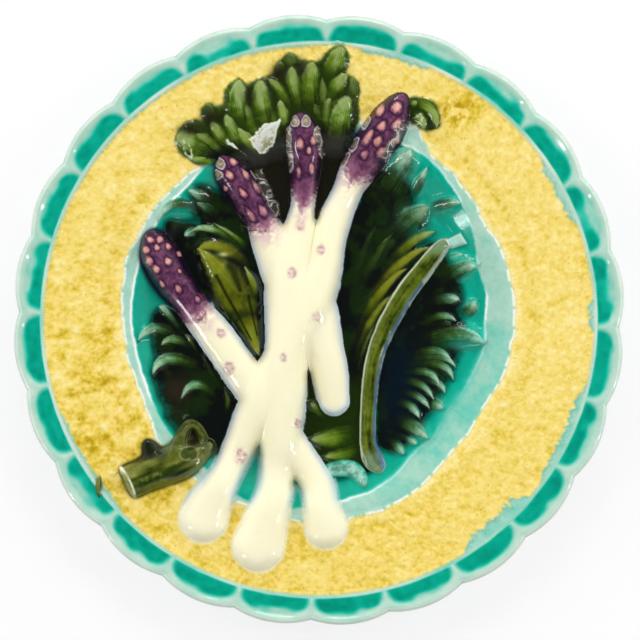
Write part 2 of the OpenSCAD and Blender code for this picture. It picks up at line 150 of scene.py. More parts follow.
def ground(r):
    """Height in mm of the turned body, at a radius in metres."""
    wall = (1 - np.cos(np.pi * np.clip((r - FLOOR_R) / (WELL_R - FLOOR_R), 0, 1))) / 2
    z = FLOOR_Z + (RIM_Z - FLOOR_Z) * wall + np.maximum(r - WELL_R, 0) * RIM_SLOPE
    groove = GROOVE_DEPTH * ease(GROOVE_W, 0, np.abs(r - GROOVE_R))
    return (z - groove + LIP_H * bell(r, LIP_R, 0.0009)) / MM


def underside(r):
    """Height in mm of the body's lower surface."""
    return np.interp(
        r, [0, FOOT_R, WELL_R, PLATE_R + MM],
        [FOOT_H / MM, FOOT_H / MM, (RIM_Z - RIM_WALL) / MM,
         (CREST_Z - RIM_WALL + RIM_SLOPE * MM) / MM])


def outline(theta):
    """Radius in metres of the lobed edge, and the angle from the middle of the lobe."""
    half = math.pi / LOBES
    phi = (theta - math.radians(LOBE_TURN) + half) % (2 * half) - half
    lobe = (PLATE_R ** 2 + NOTCH_R ** 2 - 2 * PLATE_R * NOTCH_R * math.cos(half)) / (
        2 * PLATE_R - 2 * NOTCH_R * math.cos(half))
    offset = PLATE_R - lobe
    return offset * np.cos(phi) + np.sqrt(lobe ** 2 - (offset * np.sin(phi)) ** 2), phi


# ---------------------------------------------------------------- the relief's grid
xs = np.arange(EDGE, IMAGE - EDGE, GRID)
X, Y = np.meshgrid(xs, xs)
DX, DY = X - CENTRE[0], CENTRE[1] - Y
G = ground(np.hypot(DX, DY) * PX)


def window(points, room):
    """The part of the grid round some points, and its x and y."""
    lo, hi = np.min(points, 0) - room - EDGE, np.max(points, 0) + room - EDGE
    at = tuple(slice(max(0, int(lo[k] / GRID)), min(len(xs), int(hi[k] / GRID) + 2))
               for k in (1, 0))
    return at, X[at], Y[at]


def smooth(stations, steps):
    """Catmull-Rom curve through rows of numbers."""
    s = np.array(stations, float)
    s = np.vstack([2 * s[0] - s[1], s, 2 * s[-1] - s[-2]])
    out = []
    for a, b, c, d in zip(s[:-3], s[1:-2], s[2:-1], s[3:]):
        for t in np.arange(steps) / steps:
            m, n = (c - a) / 2, (d - b) / 2
            out.append(b + t * (m + t * (3 * (c - b) - 2 * m - n + t * (2 * (b - c) + m + n))))
    return np.array(out + [s[-2]])


def along(curve, x, y):
    """Nearest place on a curve of x, y, half width and more: the distance as a share of the
    half width, the side, the distance along, and the last column there."""
    best, side, way, last = np.full(x.shape, 1e9), *np.zeros((3,) + x.shape)
    walked = 0.0
    for a, b in zip(curve[:-1], curve[1:]):
        d = b[:2] - a[:2]
        length = max(np.hypot(*d), 1e-9)
        px, py = x - a[0], y - a[1]
        t = np.clip((px * d[0] + py * d[1]) / length ** 2, 0, 1)
        q = np.hypot(px - d[0] * t, py - d[1] * t) / (a[2] + (b[2] - a[2]) * t)
        closer = q < best
        for field, value in ((best, q), (side, np.sign(px * d[1] - py * d[0])),
                             (way, walked + t * length), (last, a[-1] + (b[-1] - a[-1]) * t)):
            np.copyto(field, value, where=closer)
        walked += length
    return best, side, way, last


def fillet(a, b, k):
    """The higher of two heights, joined by a fillet."""
    near = np.maximum(k - np.abs(a - b), 0) / k
    return np.maximum(a, b) + near * near * k / 4


def blur(field, px):
    """Gaussian blur over the grid, by a size in drawing pixels."""
    s = px / GRID
    n = int(3 * s) + 1
    k = np.exp(-0.5 * (np.arange(-n, n + 1) / s) ** 2)
    k /= k.sum()
    padded = np.pad(field, n, mode="edge")
    size = len(padded)
    full = np.zeros(size)
    full[:n + 1], full[-n:] = k[n:], k[:n]
    for axis, shape in ((0, (-1, 1)), (1, (1, -1))):
        spread = np.fft.rfft(padded, axis=axis) * np.fft.rfft(full).reshape(shape)
        padded = np.fft.irfft(spread, n=size, axis=axis)
    return padded[n:-n, n:-n]


def within(points, x, y):
    """How far inside the edges of a convex shape."""
    pairs = list(zip(points, points[1:] + points[:1]))
    turn = np.sign(sum(a * d - b * c for (a, b), (c, d) in pairs))
    return np.min([turn * ((c - a) * (y - b) - (d - b) * (x - a)) / np.hypot(c - a, d - b)
                   for (a, b), (c, d) in pairs], 0)


def blank(value=0.0):
    return np.full(X.shape, value)


BED = blur(G, 8.0)  # what the stalks and the stem lie on, without the small lips


# ---------------------------------------------------------------- spears
# x, y, half width, height in mm above the body, from the point of the tip to the foot;
# join is where the purple tip meets the cream stalk, in drawing pixels from the point
SPEARS = {
    "left": dict(join=97, vee=9, stations=[
        (150, 237, 6, 2.2), (154, 243, 14, 5.2), (160, 257, 20, 7.4), (170, 276, 19.5, 8.0),
        (185, 297, 17.5, 8.0), (199, 316, 17.5, 8.0), (215, 336, 19.5, 8.0), (250, 386, 20, 8.4),
        (291, 446, 18.5, 8.2), (315, 480, 17, 7.2), (321, 506, 17.5, 6.0), (326, 529, 20, 4.8)]),
    "second": dict(join=84, vee=8, stations=[
        (223, 160, 7, 2.2), (228, 169, 14, 5.0), (238, 183, 18, 7.2), (249, 201, 17.5, 8),
        (260, 218, 16, 8), (266, 233, 18, 8), (275, 251, 22, 8), (289, 280, 26, 8.4),
        (311, 308, 27, 8.6), (322, 343, 22, 8.2), (330, 374, 20, 7.4), (333.5, 401, 17.5, 5.8)]),
    "right": dict(join=98, vee=14, stations=[
        (402, 99, 7, 2.0), (397, 108, 14, 4.4), (388, 124, 20.5, 6.0), (373, 147, 21, 7.2),
        (358, 170, 18.5, 8), (348, 189, 15.5, 8), (337, 214, 17, 8), (329, 242, 18, 9.2),
        (318, 290, 21, 10.8), (293, 340, 21, 11.2), (259, 403, 21, 10.8), (241, 442, 17.5, 9.2),
        (230, 466, 15.5, 8.0), (217, 490, 18, 6.8), (208, 506, 21.5, 5.6), (203, 519, 23.5, 4.8)]),
    "centre": dict(join=94, vee=20, stations=[
        (300, 117, 6, 2.4), (302, 124, 13, 5.4), (304, 138, 19, 7.2), (305, 160, 17, 8),
        (304, 186, 14, 8), (302.5, 207, 12.5, 8), (298, 232, 17, 9.2), (288, 275, 24, 11.6),
        (286, 325, 22.5, 12.6), (285, 390, 23, 13.0), (281, 435, 21.5, 11.8), (277.5, 464, 17.5, 10.0),
        (275, 492, 18, 8.0), (266, 520, 21.5, 6.2), (258, 546, 25, 5.0)]),
}

OVERLAP = 12  # how far tip and stalk run on under each other

heights = {}  # of each piece, in mm
TIP_WAY = blank(999.0)  # how far past the join of tip and stalk, for the spear on top
SPEAR_D = blank(9.0)
spear_top = blank(NONE)


def spear(name):
    """Heights of a spear's tip and stalk."""
    s = SPEARS[name]
    curve = smooth(s["stations"], 5)
    at, x, y = window(curve[:, :2], 30)
    wobble = cloud(x, y, 16, len(name)) - 0.5
    d, _, way, height = along(curve, x, y)
    d = d * (1 + 0.10 * wobble)
    flat = np.clip(d, 0, 1)
    z = BED[at] + height * (1 - d ** 3.6) + 0.6 * wobble * (1 - flat)
    past = way - (s["join"] - s["vee"] * flat + 7 * wobble)
    for part, beyond in (("tip", past), ("stalk", -past)):
        full = heights[f"{name}_spear_{part}"] = blank(NONE)
        dips = 0.8 * np.maximum(beyond - 1, 0)
        full[at] = z + np.where(beyond < OVERLAP, -dips, NONE)
    wins = z > spear_top[at]
    for field, value in ((spear_top, z), (TIP_WAY, past), (SPEAR_D, d)):
        field[at] = np.where(wins, value, field[at])


for name in SPEARS:
    spear(name)

# ---------------------------------------------------------------- leaves
# Under the blades of each leaf lies a thin sheet: x, y, half width
SHEETS = {
    "crest_leaf_left": [[(194, 146, 12), (206, 142, 17), (226, 142, 22), (246, 150, 16)]],
    "crest_leaf_middle": [[(238, 122, 17), (258, 116, 27), (282, 98, 26), (294, 80, 15)],
                          [(252, 134, 20), (276, 122, 24), (302, 84, 22)]],
    "crest_leaf_right": [[(332, 66, 12), (325, 86, 20), (328, 112, 24), (330, 134, 20)],
                         [(347, 90, 8), (349, 112, 9), (345, 134, 9)]],
    "crest_leaf_curl": [[(406, 111, 9), (422, 114, 11), (432, 124, 6)]],
    "crest_hollow_left": [[(246, 150, 12), (264, 156, 22), (272, 176, 20), (281, 204, 12), (289, 224, 4)]],
    "crest_hollow_right": [[(334, 142, 20), (331, 168, 18), (322, 200, 9), (317, 216, 3)]],
    "left_leaf_upper": [[(202, 196, 10), (216, 214, 21), (232, 240, 30), (246, 286, 24), (256, 336, 9)],
                        [(190, 232, 10), (212, 262, 22), (238, 312, 18), (256, 346, 8)],
                        [(254, 262, 14), (264, 300, 16), (260, 352, 12)],
                        [(172, 228, 8), (186, 238, 14), (198, 258, 16), (208, 284, 12)]],
    "left_leaf_lower": [[(166, 322, 14), (180, 346, 29), (190, 376, 37), (201, 404, 36), (208, 428, 28)],
                        [(206, 352, 12), (228, 388, 18), (236, 412, 14), (226, 436, 12)]],
    "large_leaf_inner": [[(388, 190, 22), (382, 224, 34), (374, 264, 32), (366, 306, 24), (358, 350, 18),
                          (355, 396, 17), (358, 436, 14)],
                         [(350, 214, 10), (346, 262, 16), (348, 310, 18), (352, 356, 16)],
                         [(432, 250, 8), (412, 274, 12), (392, 304, 12)],
                         [(414, 222, 14), (398, 246, 20), (384, 280, 16)]],
    "large_leaf_outer": [[(436, 258, 12), (434, 284, 24), (428, 320, 36), (414, 364, 38), (402, 404, 30),
                          (392, 438, 16)]],
    "large_leaf_heel": [[(304, 366, 10), (306, 408, 18), (326, 434, 24), (346, 446, 24), (362, 460, 14)],
                        [(304, 440, 12), (322, 462, 12), (342, 470, 9)], [(316, 412, 16), (346, 416, 14)]],
}
# Blades: x and y of the tip, the middle and the root, width, lift in mm, then two shades
# from 0 to 1: how far the sea glaze covers the tip, and how bright the green of the back is
BLADES = {
    "crest_leaf_left": [
        (177, 137, 194, 143, 216, 156, 20, 1.7, 0.1, 0.6), (206, 104, 211, 116, 220, 136, 11, 0.9, 0, 0.2),
        (185, 124, 200, 132, 222, 148, 13, 1.2, 0, 0.15), (212, 122, 220, 135, 236, 152, 12, 1.9, 0, 0.55),
        (196, 134, 208, 142, 228, 156, 10, 1.9, 0, 0.65), (190, 158, 206, 159, 224, 163, 11, 0.9, 0, 0.5),
        (216, 106, 222, 118, 232, 136, 9, 0.8, 0, 0.1)],
    "crest_leaf_middle": [
        (239, 81, 238, 102, 246, 136, 19, 2.3, 0.2, 0.85), (262, 82, 260, 103, 271, 138, 18, 2.6, 0.1, 0.85),
        (268, 79, 281, 92, 293, 118, 10, 1.8, 0, 0.95), (292, 67, 294, 86, 301, 118, 12, 2.4, 0.05, 0.9),
        (293, 55, 290, 65, 296, 84, 12, 0.8, 0, 0.25), (279, 63, 284, 73, 294, 92, 11, 0.7, 0, 0.2),
        (304, 61, 304, 74, 305, 94, 11, 0.7, 0, 0.12), (226, 114, 233, 131, 250, 154, 12, 2.3, 0.05, 0.8),
        (246, 104, 250, 122, 262, 150, 11, 2.0, 0, 0.6), (280, 100, 284, 118, 296, 140, 11, 2.2, 0, 0.7),
        (270, 104, 274, 122, 282, 146, 9, 1.6, 0, 0.5), (238, 128, 248, 142, 262, 158, 11, 2.4, 0, 0.7)],
    "crest_leaf_right": [
        (342, 48, 336, 62, 327, 86, 16, 2.4, 0.05, 0.9), (313, 63, 310, 82, 313, 116, 16, 2.6, 0, 0.85),
        (346, 75, 337, 86, 324, 112, 13, 2.3, 0.05, 0.85), (348, 98, 341, 116, 336, 150, 19, 2.8, 0.15, 0.8),
        (352, 77, 352, 92, 347, 120, 10, 1.2, 0, 0.3), (355, 97, 352, 112, 347, 140, 9, 1.0, 0, 0.25),
        (322, 78, 323, 98, 324, 130, 10, 1.7, 0, 0.6), (330, 98, 328, 116, 328, 148, 12, 1.9, 0, 0.7),
        (314, 100, 317, 118, 322, 142, 10, 1.3, 0, 0.4), (322, 62, 320, 72, 318, 92, 8, 1.0, 0, 0.4)],
    "crest_leaf_curl": [
        (437, 128, 429, 108, 408, 105, 11, 2.0, 0, 0.6), (424, 128, 420, 119, 410, 114, 11, 1.4, 0.1, 0.5),
        (417, 102, 411, 106, 403, 113, 9, 1.0, 0, 0.4)],
    "left_leaf_upper": [
        (196, 248, 231, 290, 258, 356, 50, 0.7, 0, 0.95), (259, 357, 248, 324, 232, 284, 38, 0.6, 0, 0.95),
        (188, 190, 200, 197, 214, 206, 14, 1.4, 0.9, 0.2),
        (157, 222, 176, 204, 206, 214, 11, 1.3, 1.0, 0.2), (196, 203, 206, 208, 216, 220, 11, 0.9, 0.8, 0.2),
        (184, 236, 194, 233, 208, 236, 14, 1.5, 1.0, 0.2), (188, 233, 216, 232, 256, 266, 10, 2.4, 0.5, 0.75),
        (212, 222, 238, 240, 256, 258, 8, 1.6, 0.1, 0.5), (240, 224, 248, 234, 256, 246, 8, 1.2, 0.9, 0.2),
        (196, 250, 222, 250, 258, 278, 18, 3.3, 0, 1.0), (200, 258, 224, 296, 254, 350, 12, 2.9, 0, 1.0),
        (219, 270, 240, 305, 259, 340, 10, 2.8, 0, 0.95), (244, 266, 254, 290, 261, 322, 11, 2.6, 0, 0.85)],
    "left_leaf_lower": [
        (158, 306, 172, 318, 194, 344, 16, 1.5, 0.9, 0.4), (137, 342, 156, 330, 186, 344, 13, 1.7, 0.9, 0.4),
        (160, 346, 176, 341, 200, 356, 11, 1.3, 0.6, 0.4), (152, 376, 170, 360, 208, 374, 15, 2.2, 0.8, 0.5),
        (180, 400, 196, 386, 216, 400, 11, 1.7, 0.8, 0.6), (182, 421, 187, 418, 195, 424, 6, 1.0, 0.9, 0.2),
        (184, 334, 198, 350, 216, 378, 10, 1.5, 0.1, 0.6), (222, 386, 230, 408, 226, 436, 14, 0.8, 0, 0.45),
        (200, 352, 216, 374, 236, 400, 16, 1.0, 0, 0.4)],
    "large_leaf_inner": [
        (438, 246, 396, 290, 358, 410, 22, 0.4, 0, 0.35),
        (411, 150, 398, 171, 378, 206, 36, 1.4, 1.0, 0.3), (428, 166, 419, 184, 408, 206, 13, 1.5, 1.0, 0.1),
        (461, 203, 446, 204, 424, 212, 13, 1.6, 1.0, 0.1), (430, 206, 410, 222, 384, 248, 28, 0.4, 0.6, 0.15),
        (437, 231, 410, 245, 382, 278, 13, 2.3, 0.3, 0.95), (430, 247, 398, 268, 358, 320, 13, 2.3, 0, 1.0),
        (408, 268, 382, 293, 355, 342, 12, 2.3, 0, 1.0), (394, 294, 373, 322, 356, 368, 12, 2.1, 0, 0.95),
        (378, 322, 366, 350, 358, 392, 9, 1.9, 0, 0.85), (371, 350, 363, 384, 359, 430, 9, 1.5, 0, 0.75),
        (394, 232, 374, 262, 356, 304, 10, 0.7, 0, 0.2), (376, 226, 362, 258, 350, 304, 9, 0.5, 0, 0.12),
        (410, 222, 394, 240, 374, 270, 10, 0.7, 0.2, 0.15)],
    "large_leaf_outer": [
        (477, 267, 461, 270, 440, 284, 22, 1.9, 1.0, 0.2), (460, 300, 448, 300, 428, 303, 13, 1.5, 0.9, 0.2),
        (476, 303, 471, 311, 456, 322, 17, 0.8, 0.9, 0.1), (457, 321, 443, 317, 424, 322, 10, 1.8, 0.8, 0.4),
        (456, 334, 446, 326, 430, 327, 11, 1.3, 0.7, 0.3), (485, 344, 458, 337, 418, 344, 21, 2.8, 1.0, 0.3),
        (452, 361, 436, 352, 410, 355, 10, 1.8, 0.9, 0.4), (457, 369, 440, 358, 408, 361, 9, 1.7, 0.9, 0.5),
        (454, 382, 440, 366, 406, 367, 10, 1.8, 0.9, 0.4), (440, 387, 428, 374, 402, 374, 10, 1.8, 0.85, 0.4),
        (446, 395, 434, 382, 408, 381, 10, 1.2, 0.9, 0.3), (434, 400, 421, 386, 400, 381, 10, 1.7, 0.85, 0.4),
        (430, 409, 418, 398, 400, 392, 10, 1.7, 0.9, 0.4), (420, 419, 411, 408, 396, 402, 11, 1.7, 0.9, 0.4),
        (443, 409, 434, 405, 420, 400, 15, 0.9, 0.9, 0.2), (429, 440, 413, 429, 394, 424, 17, 2.1, 0.9, 0.3),
        (417, 445, 408, 440, 390, 434, 11, 1.3, 1.0, 0.2), (404, 455, 397, 447, 387, 436, 13, 1.1, 1.0, 0.2),
        (464, 254, 452, 260, 432, 274, 14, 0.8, 1.0, 0.1)],
    "large_leaf_heel": [
        (304, 402, 330, 412, 360, 420, 26, 0.5, 0, 0.5), (306, 440, 334, 440, 364, 432, 24, 0.8, 0, 0.7),
        (320, 458, 344, 455, 366, 448, 18, 0.6, 0, 0.5), (344, 386, 352, 398, 360, 416, 14, 0.5, 0, 0.5)],
}
BLUNT = [(0, 0.03), (0.06, 0.24), (0.18, 0.56), (0.36, 0.88), (0.55, 1.0), (0.8, 0.95), (1.0, 0.8)]
POINTED = [(0, 0.02), (0.08, 0.2), (0.22, 0.56), (0.42, 0.9), (0.62, 1.0), (0.85, 0.85), (1.0, 0.6)]
WIDE = ("crest_leaf_left", "crest_leaf_middle", "crest_leaf_right")
TILT = {"large_leaf_outer": 0.55, "left_leaf_upper": 0.35, "left_leaf_lower": 0.35,
        "large_leaf_inner": 0.2}

SHEET = blank()  # how far inside a leaf: 0 outside, 1 within
CREST = blank()  # the same, for the leaves on the rim
# For the blade on top: across it, along it, its shades and its height
RIB = {"d": blank(9.0), "s": blank(1.0), "sea": blank(), "green": blank(), "side": blank(),
       "way": blank(), "up": blank()}
rib_top = blank(NONE)
blades = blank(NONE)
SHEET_H = 1.5
SHEET_FILLET, BLADE_FILLET = 0.3, 0.35


def leaf(name, order):
    """Heights of a leaf: its sheet and the blades on it."""
    crest, wide = name.startswith("crest_leaf"), name in WIDE
    top = heights[name] = blank(NONE)
    for n, stations in enumerate(SHEETS[name]):
        curve = smooth(stations, 5)
        at, x, y = window(curve[:, :2], 50)
        d = along(curve, x, y)[0] * (1 + 0.5 * (cloud(x, y, 11, 31 + n) - 0.5))
        top[at] = fillet(top[at], G[at] + SHEET_H * (1 - d ** 3), SHEET_FILLET)
        SHEET[at] = np.maximum(SHEET[at], ease(1.12, 0.72, d))
        CREST[at] = np.maximum(CREST[at], crest * ease(1.25, 0.8, d))
    for n, (*places, w, lift, sea, green) in enumerate(BLADES.get(name, [])):
        tip, middle, root = np.reshape(places, (3, 2))
        t = np.linspace(0, 1, 15)[:, None]
        bend = tip * (1 - t) ** 2 + 2 * (2 * middle - (tip + root) / 2) * t * (1 - t) + root * t * t
        w = w * (1.35 if wide else 1.15)
        half = w / 2 * np.interp(t, *zip(*(BLUNT if crest else POINTED)))
        at, x, y = window(bend, w)
        d, side, way, s = along(np.hstack([bend, half, t]), x, y)
        wobble = cloud(x, y, 9, 40 + n + 20 * order) - 0.5
        d = d * (1 + (0.5 if crest else 0.25) * wobble)
        s = np.clip(s + 0.1 * wobble, 0, 1)
        flat = np.clip(d, 0, 1)
        body = (1 - flat ** 2.2) * (w / (16 if wide else 12))
        upper = side * flat * (1 if root[0] > tip[0] else -1)
        streaks = lattice(side * flat * w * 0.4 + 40, way / 20, 128, 60 + n) - 0.5
        over_body = lift + body + 0.10 * streaks * (1 - flat) + TILT.get(name, 0.15) * upper
        rooted = 1 - (0.6 if wide else 0.85) * s ** 2
        z = G[at] + over_body * rooted - np.maximum(d - 1, 0) * 3.0
        blades[at] = fillet(blades[at], z, BLADE_FILLET)
        top[at] = fillet(top[at], z, BLADE_FILLET)
        wins = (z > rib_top[at]) & (d < 1.25)
        rib_top[at] = np.where(wins, z, rib_top[at])
        shades = dict(d=d, s=s, sea=sea, green=green, side=side * flat * w * 0.5, way=way, up=upper)
        for key, value in shades.items():
            RIB[key][at] = np.where(wins, value, RIB[key][at])
        CREST[at] = np.maximum(CREST[at], crest * ease(1.35, 0.9, d))


for order, name in enumerate(SHEETS):
    leaf(name, order)

# ---------------------------------------------------------------- other sprigs
# x, y, half width, height in mm
MIDRIB = [(447, 243, 5, 3.2), (441, 248, 8, 4.6), (429, 263, 9.5, 5.2), (406, 293, 10.5, 5.4),
          (386, 328, 10, 5.4), (374, 362, 9, 5.2), (369, 402, 8.5, 4.8), (368, 440, 8.5, 4.0),
          (373, 459, 10.5, 2.8), (378, 466, 8, 1.6)]
FACET = [(447, 240), (452, 248), (467, 243), (461, 233)]
FOLD = [(320, 474, 6, 0.8), (334, 470, 8, 1.4), (348, 469, 9, 1.7), (358, 474, 8, 1.5), (364, 484, 5, 0.9)]
STEM = [(112, 488, 17.5, 4.4), (135, 479, 18, 5.0), (152, 472, 18, 5.4), (172, 464, 19, 5.6),
        (188, 457, 18, 5.4), (200, 451, 13, 4.8), (208, 446, 7, 3.6)]
SHOOT = [(177, 460, 13, 5.0), (179, 446, 10, 5.0), (183, 434, 7, 4.9), (189, 426, 5.5, 4.6),
         (197, 429, 5, 4.4), (203, 440, 5, 4.2), (205, 452, 5, 3.8)]
STUB = [(148, 445, 6, 1.6), (151, 451, 9, 2.4), (156, 458, 10, 3.0)]

STEM_PARTS = ("cut_stem", "stem_shoot", "stem_stub")
ROLL_D, ROLL_SIDE, ROLL_WAY = {}, {}, {}


def roll(name, stations, power, hollow):
    """A round ridge, whose middle may be hollowed between two raised edges."""
    curve = smooth(stations, 6)
    at, x, y = window(curve[:, :2], 22)
    d, side, way, height = along(curve, x, y)
    d = d * (1 + 0.12 * (cloud(x, y, 10, 77) - 0.5))
    flat = np.clip(d, 0, 1)
    z = BED[at] + height * (1 - d ** power) - hollow * bell(flat, 0, 0.5)
    for store, value, beyond in ((heights, z, NONE), (ROLL_D, d, 9.0),
                                 (ROLL_SIDE, side * flat, 0.0), (ROLL_WAY, way, 0.0)):
        store[name] = blank(beyond)
        store[name][at] = value


for name, stations, power, hollow in (
    ("large_leaf_midrib", MIDRIB, 3.4, 1.3), ("large_leaf_fold", FOLD, 2.2, 0.2),
    ("cut_stem", STEM, 3.2, 0.0), ("stem_shoot", SHOOT, 2.2, 0.5), ("stem_stub", STUB, 2.2, 0.0),
):
    roll(name, stations, power, hollow)
KNOB_IN = within(FACET, X, Y)
midrib = heights["large_leaf_midrib"]
knob = np.maximum(midrib, BED + 3.0 * ease(-1.5, 1.5, KNOB_IN) - 0.3)
heights["large_leaf_midrib"] = np.where(KNOB_IN > -1.5, knob, midrib)

# A cut across the stem's end, grooves along its bark and the scar of a shoot
CUT_X, CUT_Y = 125, 480
STEM_COS, STEM_SIN = 0.904, 0.426
at, x, y = window(np.array([(105, 435), (225, 505)]), 4)
across = (x - CUT_X) * STEM_COS - (y - CUT_Y) * STEM_SIN + 1.5 * (cloud(x, y, 8, 78) - 0.5)
bark = ROLL_SIDE["cut_stem"][at]
gnarl = lattice(bark * 4 + 9, ROLL_WAY["cut_stem"][at] / 24, 64, 64)
z = heights["cut_stem"][at] + 0.9 * (gnarl - 0.5) * (np.abs(bark) < 1)
z = z - 2.2 * np.maximum(-across, 0) - 0.8 * bell(across, 2.5, 2.0) * ease(1.0, 0.6, np.abs(bark))
SCAR = blank(9.0)
SCAR[at] = oval(x, y, 189, 454, 9, 7)
heights["cut_stem"][at] = z + 0.3 * bell(SCAR[at], 1, 0.3)

# Bracts on the tips: x, y, half length, half width, height in mm
SCALES = {
    "left": [(150, 239.5, 4.4, 4.0, 0.8), (159.5, 238.8, 4.2, 3.8, 0.8), (145.5, 249.5, 4.4, 3.8, 0.75),
             (156.5, 247.5, 3.4, 2.9, 0.6), (168, 246, 4, 2.8, 0.5), (148.9, 260.7, 5.4, 4.2, 0.8),
             (155.7, 269, 5, 3.6, 0.75), (167.5, 261, 4.8, 3.6, 0.6), (179.2, 271, 3, 2.4, 0.4),
             (161.5, 283.5, 4.8, 2.6, 0.5), (178, 288.5, 5, 3.2, 0.5), (178.7, 253.7, 4, 2.4, 0.4),
             (197, 299, 4, 2.8, 0.4)],
    "second": [(229.4, 175, 6, 3.6, 0.7), (245, 173, 7.5, 3.2, 0.6), (242.4, 192.4, 6.4, 3.4, 0.7),
               (256, 186, 8, 3, 0.6), (250, 214, 8, 3.2, 0.6), (262.4, 210, 7, 3.8, 0.6),
               (233, 161, 5, 3.8, 0.7), (219, 162, 7, 4.4, 0.9), (216.6, 174.4, 5, 4.8, 0.9),
               (225, 188, 4, 2.4, 0.5), (254, 172, 8, 2.4, 0.5), (264, 190, 8, 2.8, 0.5),
               (272, 206, 7, 2.6, 0.5)],
    "right": [(380.5, 109.5, 7, 4, 0.7), (397, 107, 6.4, 5.4, 0.8), (382, 126, 6, 4, 0.7),
              (397, 124, 7, 4, 0.7), (368, 137, 8.4, 4.2, 0.8), (378, 141, 6.4, 4.6, 0.7),
              (364.5, 154, 5, 3.8, 0.6), (382, 152, 7, 4.8, 0.8), (366, 122, 7, 3.2, 0.7),
              (354, 144, 8, 3.6, 0.8), (345, 159, 8, 3.2, 0.7), (396, 140, 7, 4.2, 0.8),
              (390, 160, 5, 4, 0.6)],
    "centre": [(300, 143, 6.4, 4.2, 0.8), (309, 150, 4, 3.2, 0.7), (311.6, 168, 6, 3, 0.5),
               (298.6, 171, 7, 2.8, 0.4), (295, 121, 6, 4, 0.8), (306, 121, 6, 4.2, 0.8),
               (287, 136, 17, 3.8, 1.0), (289.5, 158, 12, 3.2, 0.8), (318, 133, 8, 4.2, 1.0),
               (323, 149, 9, 3.4, 0.8), (313, 140, 5, 3, 0.7)],
}
# Those that the glaze left greenish rather than pink, painted with a white highlight round their rims
PALE_SCALES = {"left": [], "second": [7, 8, 10, 11, 12], "right": [8, 9, 10, 12],
               "centre": [4, 5, 6, 7, 8, 9]}
BUDS = [(300, 225, 7), (321, 250, 6), (292, 273, 7), (317.5, 317, 8), (283, 357, 6),
        (221, 333, 7), (229, 368, 8), (241, 456, 9), (298, 423, 6)]
GROWTH = 1.05  # the glaze makes each bract a little larger
BUD_ROUND = 0.85  # width of a bud to its length
BUD_H = 0.22
SCALE_D, SCALE_PALE, BUD_D = blank(9.0), blank(), blank(9.0)
for name, places in SCALES.items():
    top = heights[f"{name}_tip_scales"] = blank(NONE)
    stations = SPEARS[name]["stations"]
    axis = np.subtract(stations[1][:2], stations[4][:2])
    cos, sin = axis / np.hypot(*axis) / GROWTH
    for n, (x0, y0, long, wide, h) in enumerate(places):
        at, x, y = window(np.array([(x0, y0)]), long * 2 + 4)
        wobble = cloud(x, y, 6, 90 + n) - 0.5
        u = ((x - x0) * cos + (y - y0) * sin) / long
        v = ((y - y0) * cos - (x - x0) * sin) / wide
        d = np.sqrt(u * u + v * v * np.clip(1 + 0.5 * u, 0.4, 1.6)) * (1 + 0.5 * wobble)
        z = spear_top[at] + h * (1 - d ** 2.4) + 0.22 * u * (d < 1)
        z = np.where(spear_top[at] > G[at] + 0.4, z, NONE)
        pale = float(n in PALE_SCALES[name])
        SCALE_PALE[at] = np.where(d < SCALE_D[at], pale, SCALE_PALE[at])
        SCALE_D[at] = np.minimum(SCALE_D[at], d)
        top[at] = np.maximum(top[at], z)
top = heights["stalk_buds"] = blank(NONE)
for x0, y0, size in BUDS:
    at, x, y = window(np.array([(x0, y0)]), size * 2)
    d = oval(x, y, x0, y0, size, size / BUD_ROUND) * (1 + 0.5 * (cloud(x, y, 7, int(x0)) - 0.5))
    BUD_D[at] = np.minimum(BUD_D[at], d)
    z = spear_top[at] + BUD_H * (1 - d ** 2) + BUD_H * bell(d, 0.55, 0.2)
    top[at] = np.maximum(top[at], z)

# ---------------------------------------------------------------- one glazed surface over all of them
# Sizes in mm of the fillets between the pieces
SPEAR_FILLET, LEAF_FILLET, STEM_FILLET, ROLL_FILLET, SMALL_FILLET = 5.5, 0.5, 2.6, 0.8, 0.2
CAP = 0.9  # the highest relief is eased off over this height, in mm, to stay under the top


def joined(parts):
    """Heights joined one after another, each by a fillet of its own size."""
    total = blank(NONE)
    for z, k in parts:
        total = fillet(total, z, k)
    return total


SMALL = [n for n in heights if "scales" in n or "buds" in n]
RAW = np.maximum.reduce([G] + list(heights.values()))
melted = joined((np.maximum(heights[f"{n}_spear_tip"], heights[f"{n}_spear_stalk"]), SPEAR_FILLET)
                for n in SPEARS)
leaves = joined((heights[n], LEAF_FILLET) for n in SHEETS)
others = joined((heights[n], STEM_FILLET if n in STEM_PARTS else ROLL_FILLET) for n in ROLL_D)
inside = blur((melted > G + 0.8).astype(float), 3.0)
melted = fillet(melted, blur(np.maximum(melted, G), 6.0) + 0.3 - 9 * (1 - inside), 2.0)
pooled = fillet(G + 1.3 * blur(SHEET, 4.0), blades, 0.9)
pooled = fillet(pooled, blur(pooled, 4.0) - 0.1 - 4 * (1 - blur(SHEET, 2.0)), 0.5)
H = blur(fillet(fillet(pooled, others, 0.8), melted, 1.1), 0.8)
for name in SMALL:
    H = fillet(H, heights[name], SMALL_FILLET)
H = np.where(H > TOP - CAP, TOP - CAP * np.exp(-np.maximum(H - TOP + CAP, 0) / CAP), H)

